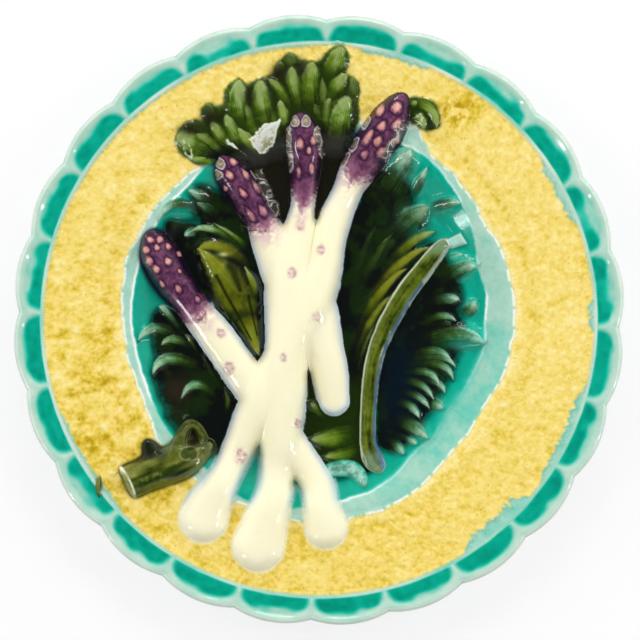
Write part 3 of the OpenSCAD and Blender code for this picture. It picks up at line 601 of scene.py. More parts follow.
FIELDS = dict(
    sheet=SHEET, sheet_near=blur(SHEET, 5.0), crest_near=blur(CREST, 3.0),
    rib_seen=blur(ease(-0.35, 0.1, rib_top - np.maximum(spear_top, others)), 0.8),
    lift=H - blur(H, 5.0), lift_fine=H - blur(H, 2.2),
    spear=ease(-0.5, 0.25, spear_top - np.maximum.reduce([G, leaves, others])),
    past=TIP_WAY, spear_d=SPEAR_D, scale_d=SCALE_D, scale_pale=SCALE_PALE, bud_d=BUD_D,
    midrib_d=np.minimum(ROLL_D["large_leaf_midrib"], 9), midrib_side=ROLL_SIDE["large_leaf_midrib"],
    knob=np.clip(KNOB_IN, -9, 9), fold_d=ROLL_D["large_leaf_fold"], scar=SCAR,
    stem=ease(-0.3, 0.4, np.maximum.reduce([heights[n] for n in STEM_PARTS]) - np.maximum(G, melted)),
    stub_d=ROLL_D["stem_stub"], shoot_d=ROLL_D["stem_shoot"],
    stem_side=ROLL_SIDE["cut_stem"], stem_way=ROLL_WAY["cut_stem"],
    **{"rib_" + key: field for key, field in RIB.items()},
)
FIELDS.update(
    spear_near=blur(FIELDS["spear"], 3.2), spear_core=blur(FIELDS["spear"], 7.0),
    stem_near=blur(FIELDS["stem"], 3.0), tip_near=blur(FIELDS["spear"] * (TIP_WAY < 4), 3.5))


def sample(field, x, y):
    """A field of the grid at places of the drawing."""
    if x is X:
        return field
    u, v = (np.clip((place - EDGE) / GRID, 0, len(xs) - 1.001) for place in (x, y))
    a, b = u.astype(int), v.astype(int)
    fu, fv = u - a, v - b
    return ((field[b, a] * (1 - fu) + field[b, a + 1] * fu) * (1 - fv)
            + (field[b + 1, a] * (1 - fu) + field[b + 1, a + 1] * fu) * fv)
# ---------------------------------------------------------------- glazes
SEA = [(0.0, (222, 234, 224)), (0.12, (200, 224, 208)), (0.28, (160, 212, 192)), (0.42, (96, 200, 178)),
       (0.55, (20, 184, 158)), (0.7, (3, 160, 134)), (0.85, (2, 124, 102)), (1.0, (2, 76, 62))]
YELLOW = [(0.0, (255, 240, 180)), (0.25, (252, 228, 136)), (0.5, (244, 214, 106)), (0.72, (222, 190, 62)),
          (1.0, (186, 152, 16))]
MIDRIB_OLIVE = [(0.0, (150, 156, 84)), (0.3, (112, 124, 42)), (0.6, (78, 94, 18)), (0.85, (40, 54, 12)),
                (1.0, (20, 26, 12))]
CREAM = [(0.0, (255, 249, 214)), (0.3, (255, 251, 226)), (0.5, (250, 252, 242)), (0.75, (230, 242, 246)),
         (1.0, (184, 212, 216))]
PURPLE = [(0.0, (172, 120, 142)), (0.3, (136, 86, 112)), (0.55, (106, 60, 90)), (0.8, (62, 32, 62)),
          (1.0, (30, 16, 38))]
PINK = [(0.0, (238, 196, 180)), (0.35, (206, 142, 134)), (0.75, (158, 92, 104)), (1.0, (92, 46, 76))]
GREEN_RIB = [(0.0, (138, 158, 84)), (0.25, (104, 132, 36)), (0.55, (78, 108, 16)), (0.8, (44, 64, 12)),
             (1.0, (20, 30, 8))]
DULL_RIB = [(0.0, (52, 74, 30)), (0.4, (34, 50, 18)), (1.0, (14, 20, 12))]
BRIGHT_RIB = [(0.0, (132, 138, 40)), (0.4, (108, 112, 14)), (0.75, (82, 90, 10)), (1.0, (34, 42, 10))]
SEA_RIB = [(0.0, (184, 212, 188)), (0.22, (134, 178, 150)), (0.45, (74, 126, 92)), (0.7, (26, 64, 44)),
           (1.0, (10, 26, 20))]
OLIVE = [(0.0, (150, 152, 92)), (0.3, (112, 118, 48)), (0.6, (80, 88, 24)), (0.85, (44, 54, 16)),
         (1.0, (20, 26, 12))]
BLACK = (13, 16, 14)
BLUE_GREY = (202, 214, 212)


def ramp(t, stops):
    at, colours = zip(*stops)
    t = np.clip(t, 0, 1)
    return np.stack([np.interp(t, at, [c[k] for c in colours]) for k in range(3)], -1)


def over(base, colour, share):
    base = np.asarray(base, float)
    return base + (np.asarray(colour, float) - base) * np.clip(share, 0, 1)[..., None]


YELLOW_OUT = 276.2  # radius of the yellow's outer edge, in drawing pixels
# Radii in drawing pixels by angle: where the pale wall and where the yellow begins
WALL_EDGE = [(0, 168), (19, 168.5), (28, 173.5), (33, 179), (41, 186), (58, 195), (90, 192), (130, 189),
             (151, 190), (164, 188.5), (199, 186), (211, 188), (240, 190), (256, 195), (270, 189),
             (285, 180), (303, 167), (320, 161), (332, 160), (346, 164), (360, 168)]
YELLOW_EDGE = [(0, 197), (20, 197), (29, 193.5), (38, 195), (46, 199), (50, 199), (56, 201), (60, 209),
               (63, 217), (67, 217), (70, 204), (100, 200), (131, 196), (153, 201), (164, 202),
               (180, 198), (198, 194), (209, 196), (217, 202), (250, 201), (268, 204), (285, 202),
               (300, 198), (315, 187), (330, 187), (341, 191), (350, 195), (360, 197)]
# Runs of the border's glaze into the yellow: middle and half width in degrees, and length
OUTER_RUNS = [(28, 7, 8), (74, 7, 6), (212, 11, 4), (311, 8, 13), (335, 10, 8), (1, 3, 6), (120, 30, 2)]
# Corners of the flat hollows of the crest, where a reflection is painted
REFLECTED_FACETS = [[(249, 139), (263, 141), (278, 122), (264, 124)], [(249, 139), (260, 154), (274, 147), (278, 122)],
           [(228, 138), (227, 143), (241, 151), (232, 142)]]
# Recesses of the crest: x, y, half width and half height
RECESSES = [(279, 73, 8, 8), (302, 68, 5, 7), (250, 96, 5, 9), (190, 129, 11, 6), (211, 117, 9, 7)]
# Dark folds of the broad leaf at the left: a line and the half width where it begins
CREASES = [(231, 266, 240, 290, 6), (216, 276, 251, 340, 2.2), (248, 296, 257, 336, 1.8)]
# Painted glints and reflections along the edges of the heads: a line from x, y to x, y and its half width
GLINT_LINES = [(259, 172, 276, 212, 6), (400, 128, 386, 156, 6), (317, 131, 322, 152, 4), (289, 130, 290, 160, 4)]
# Loops of light: x, y, half length, half width and the direction's cosine and sine
GLINT_LOOPS = [(187, 149, 8.5, 3, 0.45, 0.9), (415, 121, 9, 4, 0.75, -0.66)]


def by_angle(table, around):
    return np.interp(around, *zip(*table))


def dabs(x, y):
    """The dabs of the brush on the yellow rim, from 0 to 1."""
    bend = 5 * (cloud(x, y, 30, 55) - 0.5)
    return (0.55 * cloud(x + bend, (y + bend) * 1.35, 7, 6)
            + 0.45 * cloud(x * 0.8 + y * 0.5, y - x * 0.3, 4, 7))


def paint(x, y):
    """Colours, in sRGB from 0 to 255, of the glazes at places of the drawing."""
    f = SimpleNamespace(**{key: sample(field, x, y) for key, field in FIELDS.items()})
    px = np.hypot(x - CENTRE[0], CENTRE[1] - y)
    around = np.degrees(np.arctan2(CENTRE[1] - y, x - CENTRE[0])) % 360
    soft = cloud(x, y, 26, 11) - 0.5
    fine = cloud(x, y, 7, 12) - 0.5
    grit = cloud(x, y, 2.6, 13) - 0.5
    on_rim = ease(188, 200, px)
    in_well = 1 - on_rim
    on_spear = ease(0.25, 0.75, f.spear)

    # the turquoise well and its pale wall
    wall = by_angle(WALL_EDGE, around) + 5 * (lattice(around / 9, 0, 40, 5) - 0.5) + 2 * fine
    lower_right = bell(around, 325, 34)
    in_wall = ease(-2 - 10 * lower_right, 2 + 6 * lower_right, px - wall)
    shadow = (0.22 + 0.16 * ease(260, 220, x)) * ease(0.01, 0.35, f.sheet_near)
    depth = 0.60 + 0.10 * soft + shadow + 0.05 * ease(150, 168, px)
    swept = cloud(x * 0.5 + y * 0.4, y * 0.8 - x * 0.6, 10, 9) - 0.5
    pale = 0.245 + 0.14 * soft + 0.16 * swept + 0.10 * lower_right
    c = ramp(depth + (pale - depth) * in_wall, SEA)

    def coat(colour, share):
        c[...] = over(c, colour, share)

    # painted highlight: a thin white line along the inner edge of the pale wall
    coat((252, 254, 252), bell(px - wall, 0.5, 1.5) * (1 - 0.9 * lower_right)
         * ease(0.15, 0.5, lattice(around / 14, 0, 26, 15)))

    # the yellow of the rim
    comb = lattice(around * 1.9, px / 60, 684, 3)
    runs = sum(run * ease(half * 1.25, half * 0.75, np.abs((around - centre + 180) % 360 - 180))
               for centre, half, run in OUTER_RUNS)
    outer = YELLOW_OUT - runs * (0.55 + 0.6 * comb) - 2.0 * (comb - 0.5)
    inner = by_angle(YELLOW_EDGE, around) + 3.0 * (lattice(around / 4, 0, 90, 16) - 0.5) + 2 * fine
    smear = spot(x, y, 458, 110, 22, 17) * ease(0.42, 0.62, cloud(x + y * 0.6, y, 8, 22))
    mottle = cloud(x, y * 1.3, 15, 17)
    rich = (0.37 + 0.85 * (dabs(x, y) - 0.5) + 0.20 * (mottle - 0.5) + 0.45 * grit + 0.6 * smear
            + 0.10 * bell(px, 215, 4.5) + 0.06 * ease(266, 276, px) - 0.16 * bell(px, inner + 3, 3.0)
            + bell(around, 207, 36) * (0.02 + 0.9 * (mottle - 0.42)) + 0.12 * bell(around, 250, 60))
    coat(ramp(rich, YELLOW), ease(-1.6, 1.6, px - inner) * ease(1.4, -1.4, px - outer))
    coat((250, 252, 244), bell(px - inner, -0.8, 1.2) * ease(0.2, 0.5, lattice(around / 1.2, 0, 300, 18)))
    coat((120, 176, 160), 0.5 * bell(px - outer, 1.2, 1.6) * (px > 240))

    # the dark pools of the leaves, and how they bleed into the turquoise and the yellow
    coat((54, 74, 14), on_rim * ease(0.12, 0.62, f.crest_near + 0.45 * fine))
    coat((2, 80, 64), in_well * 0.8 * ease(0.02, 0.5, f.sheet_near + 0.25 * fine))
    coat((14, 30, 48), in_well * 0.92 * ease(0.06, 0.5, f.tip_near))
    coat((34, 50, 10), on_rim * ease(0.5, 1.0, f.crest_near))
    deep = over(BLACK, (22, 38, 12), ease(0.42, 0.66, cloud(x, y, 20, 23)))
    deep = over(deep, (7, 20, 34), spot(x, y, 400, 385, 22, 52))
    deep = over(deep, (48, 33, 26), 0.85 * spot(x, y, 177, 390, 12, 16))
    deep = over(deep, (32, 26, 16), 0.8 * ease(228, 210, y) * ease(230, 245, x) * ease(350, 335, x))
    deep = over(deep, (30, 46, 6), 0.9 * ease(296, 306, x) * ease(368, 356, x) * ease(366, 392, y))
    deep = over(deep, (34, 50, 10), on_rim * ease(160, 130, y))
    coat(deep, ease(0.12, 0.95, f.sheet + 0.35 * fine) * 0.97)
    cloudy = over((66, 118, 90), (22, 132, 108), ease(-0.1, 0.1, soft))
    coat(cloudy, 0.9 * spot(x, y, 423, 219, 22, 18) * ease(-0.3, 0.05, fine))

    # blades
    s, d, up = f.rib_s, f.rib_d, f.rib_up
    streak = lattice(f.rib_side * 0.9 + 40, f.rib_way / 13, 256, 61) - 0.5
    # the shade of a blade: darker towards its root and streaked as the glaze runs, with painted light in it:
    # lighter on its upper side and on raised places, darker towards its edges
    shade = (s + (0.3 + 0.3 * on_rim) * streak + (0.4 + 0.3 * on_rim) * fine
             + 0.3 * np.clip(d, 0, 1) ** 2 - 0.10 - 0.16 * up - 0.18 * on_rim
             - 0.10 * np.clip(f.lift_fine * 3, -1, 1))
    g = f.rib_green + 0.2 * fine
    green = over(ramp(shade, GREEN_RIB), ramp(shade, DULL_RIB), ease(0.5, 0.05, g))
    green = over(green, ramp(shade * 0.8, BRIGHT_RIB), ease(0.75, 1.0, g) * in_well)
    tip = f.rib_sea * ease(0.95, 0.35, s + 0.35 * fine)
    blade = over(green, ramp(shade + 0.10, SEA_RIB), tip)
    blade = over(blade, (40, 160, 136),
                 0.6 * tip * ease(0.5, 0.95, d + 0.25 * up) * ease(0.7, 0.2, s) * in_well)
    rib = ease(1.08, 0.40, d + 0.15 * fine - 0.2 * up) * in_well + ease(1.12, 0.7, d) * on_rim
    coat(blade, rib * ease(-0.45, 0.3, f.lift) * f.rib_seen * (0.2 + 0.8 * ease(1.0, 0.5, s))
         * (0.5 + 0.5 * ease(0.0, 0.4, f.rib_green + f.rib_sea)))
    coat((20, 150, 128), 0.85 * spot(x, y, 463, 344.5, 17, 5.5))
    # painted highlights on the blades: crisp white edges on the big blade at the right, a sheen along upper
    # edges and pale lines round the tips
    crisp_highlight = bell(d, 0.92, 0.09) * ease(0.6, 0.1, s) * (f.rib_sea > 0.95)
    coat((226, 242, 230), 0.85 * crisp_highlight * ease(446, 452, x) * ease(315, 330, y) * f.rib_seen)
    sheen = bell(d, 0.82, 0.12) * ease(0.15, 0.6, up) * ease(0.75, 0.2, s) * ease(0.3, 0.6, f.rib_sea)
    coat((186, 212, 186), 0.55 * sheen * in_well * f.rib_seen * ease(-0.2, 0.1, fine))
    edge = bell(d, 0.88, 0.10) * ease(0.4, 0.05, s) * ease(-0.15, 0.1, fine)
    coat((190, 204, 172), 0.65 * edge * f.rib_seen)
    for recess in RECESSES:
        coat((34, 32, 16), 0.85 * bell(oval(x, y, *recess) + 0.5 * fine, 0, 1))
    for *line, room in CREASES:
        t, off = to_line(x, y, *line)
        coat((24, 30, 6), 0.8 * ease(1.5, 0.2, off / (room * (1 - 0.6 * t)) + 0.5 * fine))
    # painted highlight on the top of the broad leaf at the left
    coat((232, 230, 150), 0.8 * spot(x, y, 223, 254, 5, 2.5))

    # the midrib and the turned-over end
    m, side = ease(1.06, 0.9, f.midrib_d), f.midrib_side
    lengthwise = lattice(side * 5 + 9, y / 20, 64, 63) - 0.5
    coat(ramp(0.50 + 0.44 * lengthwise + 0.6 * fine + 0.2 * bell(side, 0.3, 0.25), MIDRIB_OLIVE), m)
    foot = ease(446, 460, y) * m
    coat((130, 160, 138), 0.7 * np.maximum(foot, m * ease(262, 246, y)))
    # painted highlight and reflection along the midrib: a white line down its left side, a blue to white one
    # down its right side and a whitish line on its right edge
    coat((222, 230, 206), m * bell(side, -0.90, 0.13) * (1.0 + 0.3 * fine) * ease(1.0, 0.8, foot))
    midrib_reflection = over((88, 124, 184), (206, 220, 226),
                ease(0.35, 0.7, cloud(x, y, 18, 19)) * ease(420, 300, y) + ease(290, 250, y))
    coat(midrib_reflection, m * bell(side, 0.80, 0.20) * 0.9)
    coat((216, 226, 224), m * bell(side, 0.97, 0.07) * ease(0.3, 0.6, cloud(x, y, 14, 24)))
    # the facet on the midrib: a painted reflection, pale turquoise with a white rim
    coat((166, 212, 196), ease(-0.8, 0.4, f.knob))
    coat((236, 244, 238), 0.9 * bell(f.knob, 0.2, 0.9))
    fold = ease(1.1, 0.8, f.fold_d)
    coat(ramp(0.295 + 0.35 * fine + 0.22 * ease(0.3, 1.0, f.fold_d), SEA), fold * ease(318, 330, x))
    coat((84, 120, 96), 0.6 * fold * ease(-0.1, 0.2, fine))

    # the cut stem and its shoots
    stem, side, way = f.stem, f.stem_side, f.stem_way
    barky = lattice(side * 5 + 9, way / 22, 64, 64) - 0.5
    coat((60, 66, 16), ease(0.1, 0.6, f.stem_near) * on_rim)
    coat(ramp(0.56 + 0.95 * barky + 0.3 * fine + 0.2 * ease(0.5, 1.0, np.abs(side)), OLIVE), stem)
    stripe = bell(side, -0.4, 0.34) * ease(16, 30, way) * ease(84, 60, way)
    coat((28, 50, 8), 0.85 * stem * stripe * ease(-0.3, 0.0, fine))
    coat((74, 98, 20), 0.5 * stem * bell(side, -0.85, 0.2))
    young = stem * ease(0.95, 0.7, f.shoot_d) * ease(462, 448, y)
    coat(ramp(0.55 + 0.6 * fine + 0.3 * f.shoot_d, OLIVE), young)
    coat((150, 154, 104), 0.4 * young * bell(f.shoot_d + 0.3 * fine, 0.7, 0.1))
    coat((26, 34, 12), 0.85 * ease(0.2, 0.6, f.stem_near) * ease(1.5, 0.5, f.stub_d) * ease(464, 452, y))
    coat((46, 64, 16), 0.7 * ease(1.1, 0.8, f.scar) * stem)
    coat((150, 152, 100), 0.6 * bell(f.scar + 0.5 * fine, 1, 0.12) * stem)
    coat((30, 24, 14), 0.9 * spot(x, y, 194, 439, 7, 8) * (1 - young))
    # painted highlight on the cut end of the stem: a pale loop with a white rim
    loop = oval(x, y, CUT_X + 2, CUT_Y + 3, 16, 3.4, STEM_SIN, STEM_COS)
    coat((150, 152, 104), 0.6 * ease(1.0, 0.7, loop) * stem)
    coat((244, 246, 226), bell(loop, 1, 0.3) * stem * (0.5 + 0.5 * ease(-0.2, 0.1, fine)))

    # the spears: cream, bluish where the glaze runs thinner at the edges and painted lighter there, with
    # purple heads
    feet = ease(496, 514, y)
    inland = ease(0.05, 0.42, f.spear_near) * (1 - f.spear) * (1 - ease(0.1, 0.6, f.sheet)) * (f.past > 0)
    coat(over(BLUE_GREY, (252, 244, 204), feet), (0.75 + 0.25 * feet) * inland * ease(0.9, 0.5, stem))
    # towards the edges of the stalks the glaze runs thinner and bluish, and the edges are also painted
    # lighter and bluer as painted light on the steep sides
    thin_and_lit = 1 - ease(0.48, 0.97, f.spear_core + 0.2 * soft)
    cream = ramp(0.05 + 0.80 * thin_and_lit + 0.16 * soft + 0.10 * fine, CREAM)
    cream = over(cream, ramp(0.05 + 0.35 * thin_and_lit, CREAM), feet)
    warm = np.clip(0.5 + 1.4 * (cloud(x, y, 34, 20) - 0.5), 0, 1)
    cream = over(cream, (255, 248, 204), 0.4 * warm * (1 - thin_and_lit))
    cream = over(cream, (214, 172, 186), 0.65 * bell(f.past, 2, 13) * ease(-0.2, 0.15, fine))
    mauve = ramp(0.60 + 0.45 * fine + 0.35 * grit + 0.5 * ease(0.55, 1.05, f.spear_d)
                 - 0.34 * ease(-24, -2, f.past), PURPLE)
    head = ease(6, -8, f.past + 16 * grit + 12 * fine)
    spear_colour = over(cream, mauve, head)
    spear_colour = over(spear_colour, (226, 194, 186), 0.62 * ease(1.0, 0.35, f.bud_d + 0.6 * fine))
    spear_colour = over(spear_colour, (168, 118, 130),
                        0.55 * bell(f.bud_d, 0.42, 0.22) * ease(-0.15, 0.1, grit))
    coat(spear_colour, on_spear)
    pink = ramp(0.16 + 0.7 * f.scale_d ** 2 + 0.5 * grit, PINK)
    shiny = over((112, 112, 74), (176, 174, 146), ease(-0.15, 0.15, grit))
    coat((44, 20, 46), 0.7 * bell(f.scale_d, 1.12, 0.2) * on_spear * head)
    coat(over(pink, shiny, 0.8 * f.scale_pale),
         ease(1.02, 0.5, f.scale_d + 0.4 * grit) * on_spear * (0.6 + 0.4 * ease(-15, -55, f.past)))
    # painted highlight: a white rim round the greenish bracts
    coat((226, 228, 220), 0.85 * bell(f.scale_d, 0.9, 0.14) * f.scale_pale * on_spear)

    # painted reflections in flat hollows of the crest: a pale fill with a white rim
    for points in REFLECTED_FACETS:
        inside = within(points, x, y) + 6.0 * fine
        coat(over((150, 150, 112), (214, 218, 206), ease(-0.2, 0.1, fine)), ease(-0.6, 0.6, inside))
        coat((238, 242, 232), 0.9 * bell(inside, 0.4, 1.0))

    # wet glints along the edges of the heads, and loops of light on two scales
    curls = lattice(x / 5.5, y / 5.5, 256, 35)
    for *line, room in GLINT_LINES:
        near = ease(room, room * 0.4, to_line(x, y, *line)[1] + 4 * fine)
        coat((104, 100, 92), 0.55 * near)
        coat((240, 238, 232), 0.95 * near * np.maximum(bell(curls, 0.62, 0.05), bell(curls, 0.36, 0.05)))
    for loop in GLINT_LOOPS:
        coat((226, 230, 208), 0.9 * bell(oval(x, y, *loop) + 0.9 * grit, 1, 0.28) * ease(-0.25, 0.0, fine))
    return c


def linear(rgb):
    """From sRGB, 0 to 255, to linear light."""
    c = np.clip(np.asarray(rgb, float), 0, 255) / 255
    return np.where(c <= 0.04045, c / 12.92, ((c + 0.055) / 1.055) ** 2.4)


# ---------------------------------------------------------------- materials
class Nodes:
    """Short names for the nodes of one material or world."""

    def __init__(self, owner):
        owner.use_nodes = True
        self.owner = owner
        self.nodes = owner.node_tree.nodes
        self.place = self.add("TexCoord").outputs

    def feed(self, node, inputs):
        """Gives the inputs of a node a number, a colour or a link each."""
        for key, value in inputs.items():
            if isinstance(value, (int, float, tuple)):
                node.inputs[key].default_value = value
            else:
                self.owner.node_tree.links.new(value, node.inputs[key])

    def add(self, kind, inputs=None):
        node = self.nodes.new("ShaderNode" + kind)
        self.feed(node, inputs or {})
        return node

    def math(self, kind, a, b):
        node = self.add("Math", {0: a, 1: b})
        node.operation = kind
        return node.outputs[0]

    def noise(self, scale, detail=2.0, rough=0.5):
        return self.add("TexNoise", {"Scale": scale, "Detail": detail, "Roughness": rough,
                                     "Vector": self.place["Object"]}).outputs["Fac"]

    def span(self, value, low, high, out_low=0.0, out_high=1.0):
        node = self.add("MapRange", {"Value": value, "From Min": low, "From Max": high,
                                     "To Min": out_low, "To Max": out_high})
        node.interpolation_type = "SMOOTHSTEP"
        return node.outputs["Result"]

    def greys(self, value, stops):
        node = self.add("ValToRGB", {"Fac": value})
        for element, (where, level) in zip(node.color_ramp.elements, stops):
            element.position = where
            element.color = (level, level, level, 1.0)
        return node.outputs["Color"]

    def mix(self, a, b, share, kind="MIX"):
        node = self.add("Mix")
        node.data_type = "RGBA"
        node.blend_type = kind
        self.feed(node, {0: share, 6: a, 7: b})
        return node.outputs[2]


def glaze(name, mottle, specks, gloss=0.08, peel=0.012, brown=(96, 66, 30)):
    """A thick glossy glaze over the painted colours, with mottling, specks and faint ripples.
    peel is the depth of the ripples in mm."""
    n = Nodes(bpy.data.materials.new(name))
    tint = n.add("Attribute")
    tint.attribute_name = "tint"
    grain = n.math("ADD", n.math("MULTIPLY", n.noise(420, 4, 0.6), 0.6),
                   n.math("MULTIPLY", n.noise(1900, 2), 0.4))
    colour = n.mix(tint.outputs["Color"], n.greys(grain, [(0.3, linear(150)), (0.7, linear(226))]),
                   mottle, "OVERLAY")
    if specks:
        cells = n.add("TexVoronoi", {"Scale": 480, "Vector": n.place["Object"]}).outputs["Distance"]
        dots = n.math("MULTIPLY", n.span(cells, 0.13, 0.06), n.span(n.noise(230, 1), 0.55, 0.62))
        colour = n.mix(colour, tuple(linear(brown)) + (1.0,), n.math("MULTIPLY", dots, specks))
    bump = n.add("Bump", {"Distance": peel * MM, "Strength": 1.0, "Height": n.noise(800, 3)})
    n.feed(n.nodes["Principled BSDF"], {
        "Base Color": colour, "Roughness": n.span(n.noise(700, 3), 0.3, 0.8, gloss, gloss + 0.10),
        "IOR": 1.5, "Coat Weight": 0.35, "Coat Roughness": 0.03,
        "Normal": bump.outputs["Normal"], "Coat Normal": bump.outputs["Normal"]})
    return n.owner


GLAZES = {name: glaze(name, mottle, specks, *rest) for name, mottle, specks, *rest in (
    ("yellow_glaze", 0.4, 0.7, 0.14, 0.03), ("green_glaze", 0.4, 0.0),
    ("dark_green_glaze", 0.4, 0.4, 0.08, 0.012, (150, 110, 40)), ("olive_glaze", 0.4, 0.0),
    ("cream_glaze", 0.05, 0.12, 0.08, 0.008), ("purple_glaze", 0.5, 0.0), ("pink_glaze", 0.3, 0.0),
    ("turquoise_glaze", 0.2, 0.15), ("pale_turquoise_glaze", 0.25, 0.1),
    ("foot_clay", 0.6, 0.5, 0.45, 0.03))}


# ---------------------------------------------------------------- meshes
def build(name, points, quads, colours, slot, nodes):
    mesh = bpy.data.meshes.new(name)
    quads = np.asarray(quads, np.int32)
    mesh.vertices.add(len(points))
    mesh.vertices.foreach_set("co", np.asarray(points, np.float32).ravel())
    mesh.loops.add(quads.size)
    mesh.loops.foreach_set("vertex_index", quads.ravel())
    mesh.polygons.add(len(quads))
    mesh.polygons.foreach_set("loop_start", np.arange(0, quads.size, 4, dtype=np.int32))
    mesh.polygons.foreach_set("loop_total", np.full(len(quads), 4, np.int32))
    mesh.polygons.foreach_set("use_smooth", np.ones(len(quads), bool))
    tint = mesh.attributes.new("tint", "FLOAT_COLOR", "POINT")
    rgba = np.ones((len(points), 4), np.float32)
    rgba[:, :3] = linear(colours)
    tint.data.foreach_set("color", rgba.ravel())
    mesh.update(calc_edges=True)
    mesh.materials.append(GLAZES[slot])
    piece = bpy.data.objects.new(name, mesh)
    bpy.context.scene.collection.objects.link(piece)
    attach(piece, "root")
    if nodes:
        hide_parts(*nodes)
    return piece


COLOUR = paint(X, Y)
# How far a mesh runs on, in mm: bracts and leaves below their neighbours, and all below the body
SMALL_UNDER, LEAF_UNDER, UNDER_BODY = 0.25, 2.0, 0.3
# Thickness of the bracts, depth of the other sprigs in the body and their least thickness
SMALL_THICK, ROOT, THIN = 0.3, 0.45, 0.15


def dip(under):
    """How far a surface lies below the glaze, from its depth under its neighbours."""
    return np.minimum(1.5 * under * under, under)


def relief(name, slot):
    """A sprig: the glazed surface where it lies on top, dipping under its neighbours."""
    raw = heights[name]
    small = name in SMALL
    keep = raw > RAW - SMALL_UNDER if small else raw > G - UNDER_BODY
    if name in SHEETS:
        keep &= raw > RAW - LEAF_UNDER
    cells = keep[:-1, :-1] & keep[1:, :-1] & keep[:-1, 1:] & keep[1:, 1:]
    used = np.zeros(X.shape, bool)
    for a in (slice(None, -1), slice(1, None)):
        for b in (slice(None, -1), slice(1, None)):
            used[a, b] |= cells
    z = H[used] - dip((RAW - raw)[used])
    base = z - SMALL_THICK if small else np.minimum(G[used] - ROOT, z - THIN)
    count = len(z)
    index = np.full(X.shape, -1)
    index[used] = np.arange(count)
    px, py = DX[used] * PX, DY[used] * PX
    points = np.concatenate([np.stack([px, py, z * MM], 1), np.stack([px, py, base * MM], 1)])
    a, b = index[:-1, :-1][cells], index[:-1, 1:][cells]
    c, d = index[1:, 1:][cells], index[1:, :-1][cells]
    quads = [np.stack([a, d, c, b], 1), np.stack([a, b, c, d], 1) + count]
    padded = np.pad(cells, 1)
    inner = padded[1:-1, 1:-1]
    for lone, p, q in (
        (inner & ~padded[:-2, 1:-1], index[:-1, :-1], index[:-1, 1:]),
        (inner & ~padded[2:, 1:-1], index[1:, 1:], index[1:, :-1]),
        (inner & ~padded[1:-1, :-2], index[1:, :-1], index[:-1, :-1]),
        (inner & ~padded[1:-1, 2:], index[:-1, 1:], index[1:, 1:]),
    ):
        p, q = p[lone], q[lone]
        quads.append(np.stack([p, q, q + count, p + count], 1))
    return build(name, points, np.concatenate(quads), np.tile(COLOUR[used], (2, 1)), slot, [name])


def turned(name, rows, colours, slot, nodes):
    """A closed ring: rows by columns of x, y (drawing) and z (mm), closed both ways."""
    n, m = rows.shape[:2]
    x, y, z = np.moveaxis(rows, -1, 0)
    points = np.stack([(x - CENTRE[0]) * PX, (CENTRE[1] - y) * PX, z * MM], -1)
    i, j = np.meshgrid(np.arange(n), np.arange(m), indexing="ij")
    i2, j2 = (i + 1) % n, (j + 1) % m
    quads = np.stack([i * m + j, i2 * m + j, i2 * m + j2, i * m + j2], -1).reshape(-1, 4)
    return build(name, points.reshape(-1, 3), quads, colours.reshape(-1, 3), slot, nodes)


def polar(r, theta):
    """Places of the drawing for radii in metres and angles."""
    return CENTRE[0] + r * np.cos(theta) / PX, CENTRE[1] - r * np.sin(theta) / PX


for name in SHEETS:
    relief(name, "dark_green_glaze" if "hollow" in name or "heel" in name else "green_glaze")
for name in ROLL_D:
    relief(name, "pale_turquoise_glaze" if name == "large_leaf_fold" else "olive_glaze")
for name in SPEARS:
    relief(f"{name}_spear_stalk", "cream_glaze")
    relief(f"{name}_spear_tip", "purple_glaze")
for name in SMALL:
    relief(name, "pink_glaze")


# ---------------------------------------------------------------- the body
def circle(columns):
    """Angles of the columns of a ring."""
    return np.linspace(0, 2 * np.pi, columns, endpoint=False)


def ring(r, theta, z):
    """A row at a radius in metres: x and y of the drawing, and the height in mm."""
    return np.stack([*polar(r, theta), np.broadcast_to(z, theta.shape)], 1)


def painted(rows):
    return paint(rows[..., 0], rows[..., 1])


def glazed(r, theta):
    """Height in mm of the glazed body, which dips under the sprigs."""
    x, y = polar(r, theta)
    under = sample(RAW, x, y) - ground(r)
    return np.where(r < BORDER_R, sample(H, x, y) - dip(under), ground(r))


def tuck(past, most):
    """How far a layer goes down past its joint, in mm."""
    return min(1000 * max(past, 0) ** 2 / MM, most)


def layer(name, radii, columns, slot, added):
    """A ring of glaze on the body."""
    theta = circle(columns)
    rows = [ring(r, theta, glazed(r, theta) + added(r, theta)) for r in radii]
    rows = np.array(rows + [ring(r, theta, ground(r) - SKIRT) for r in (radii[-1], radii[0])])
    turned(name, rows, painted(rows), slot, [])


def brushed(r, theta):
    """The yellow glaze of the rim is brushed and combed."""
    x, y = polar(r, theta)
    brush = 0.8 * (dabs(x, y) - 0.5) * ease(0.0762, 0.079, r) * ease(0.1035, 0.102, r)
    beads = 0.10 * np.cos(theta * 300) * bell(r, LIP_R, 0.0008)
    flow = 0.30 * (cloud(x, y, 18, 8) - 0.5) * ease(0.0765, 0.082, r)
    return beads + flow - brush - tuck(JOINT_R - r, 0.6)


def tucked(r, theta):
    """The glaze of the well and the wall goes down past the joint."""
    return -tuck(r - JOINT_R, 0.4)


WELL_IN, WALL_IN, WALL_OUT, RIM_IN, RIM_OUT = 0.030, 0.060, 0.0745, 0.0731, 0.1040
layer("well_glaze", np.linspace(WELL_IN, WALL_IN, 100), 960, "turquoise_glaze", tucked)
layer("wall_glaze", np.linspace(WALL_IN, WALL_OUT, 90), 1080, "pale_turquoise_glaze", tucked)

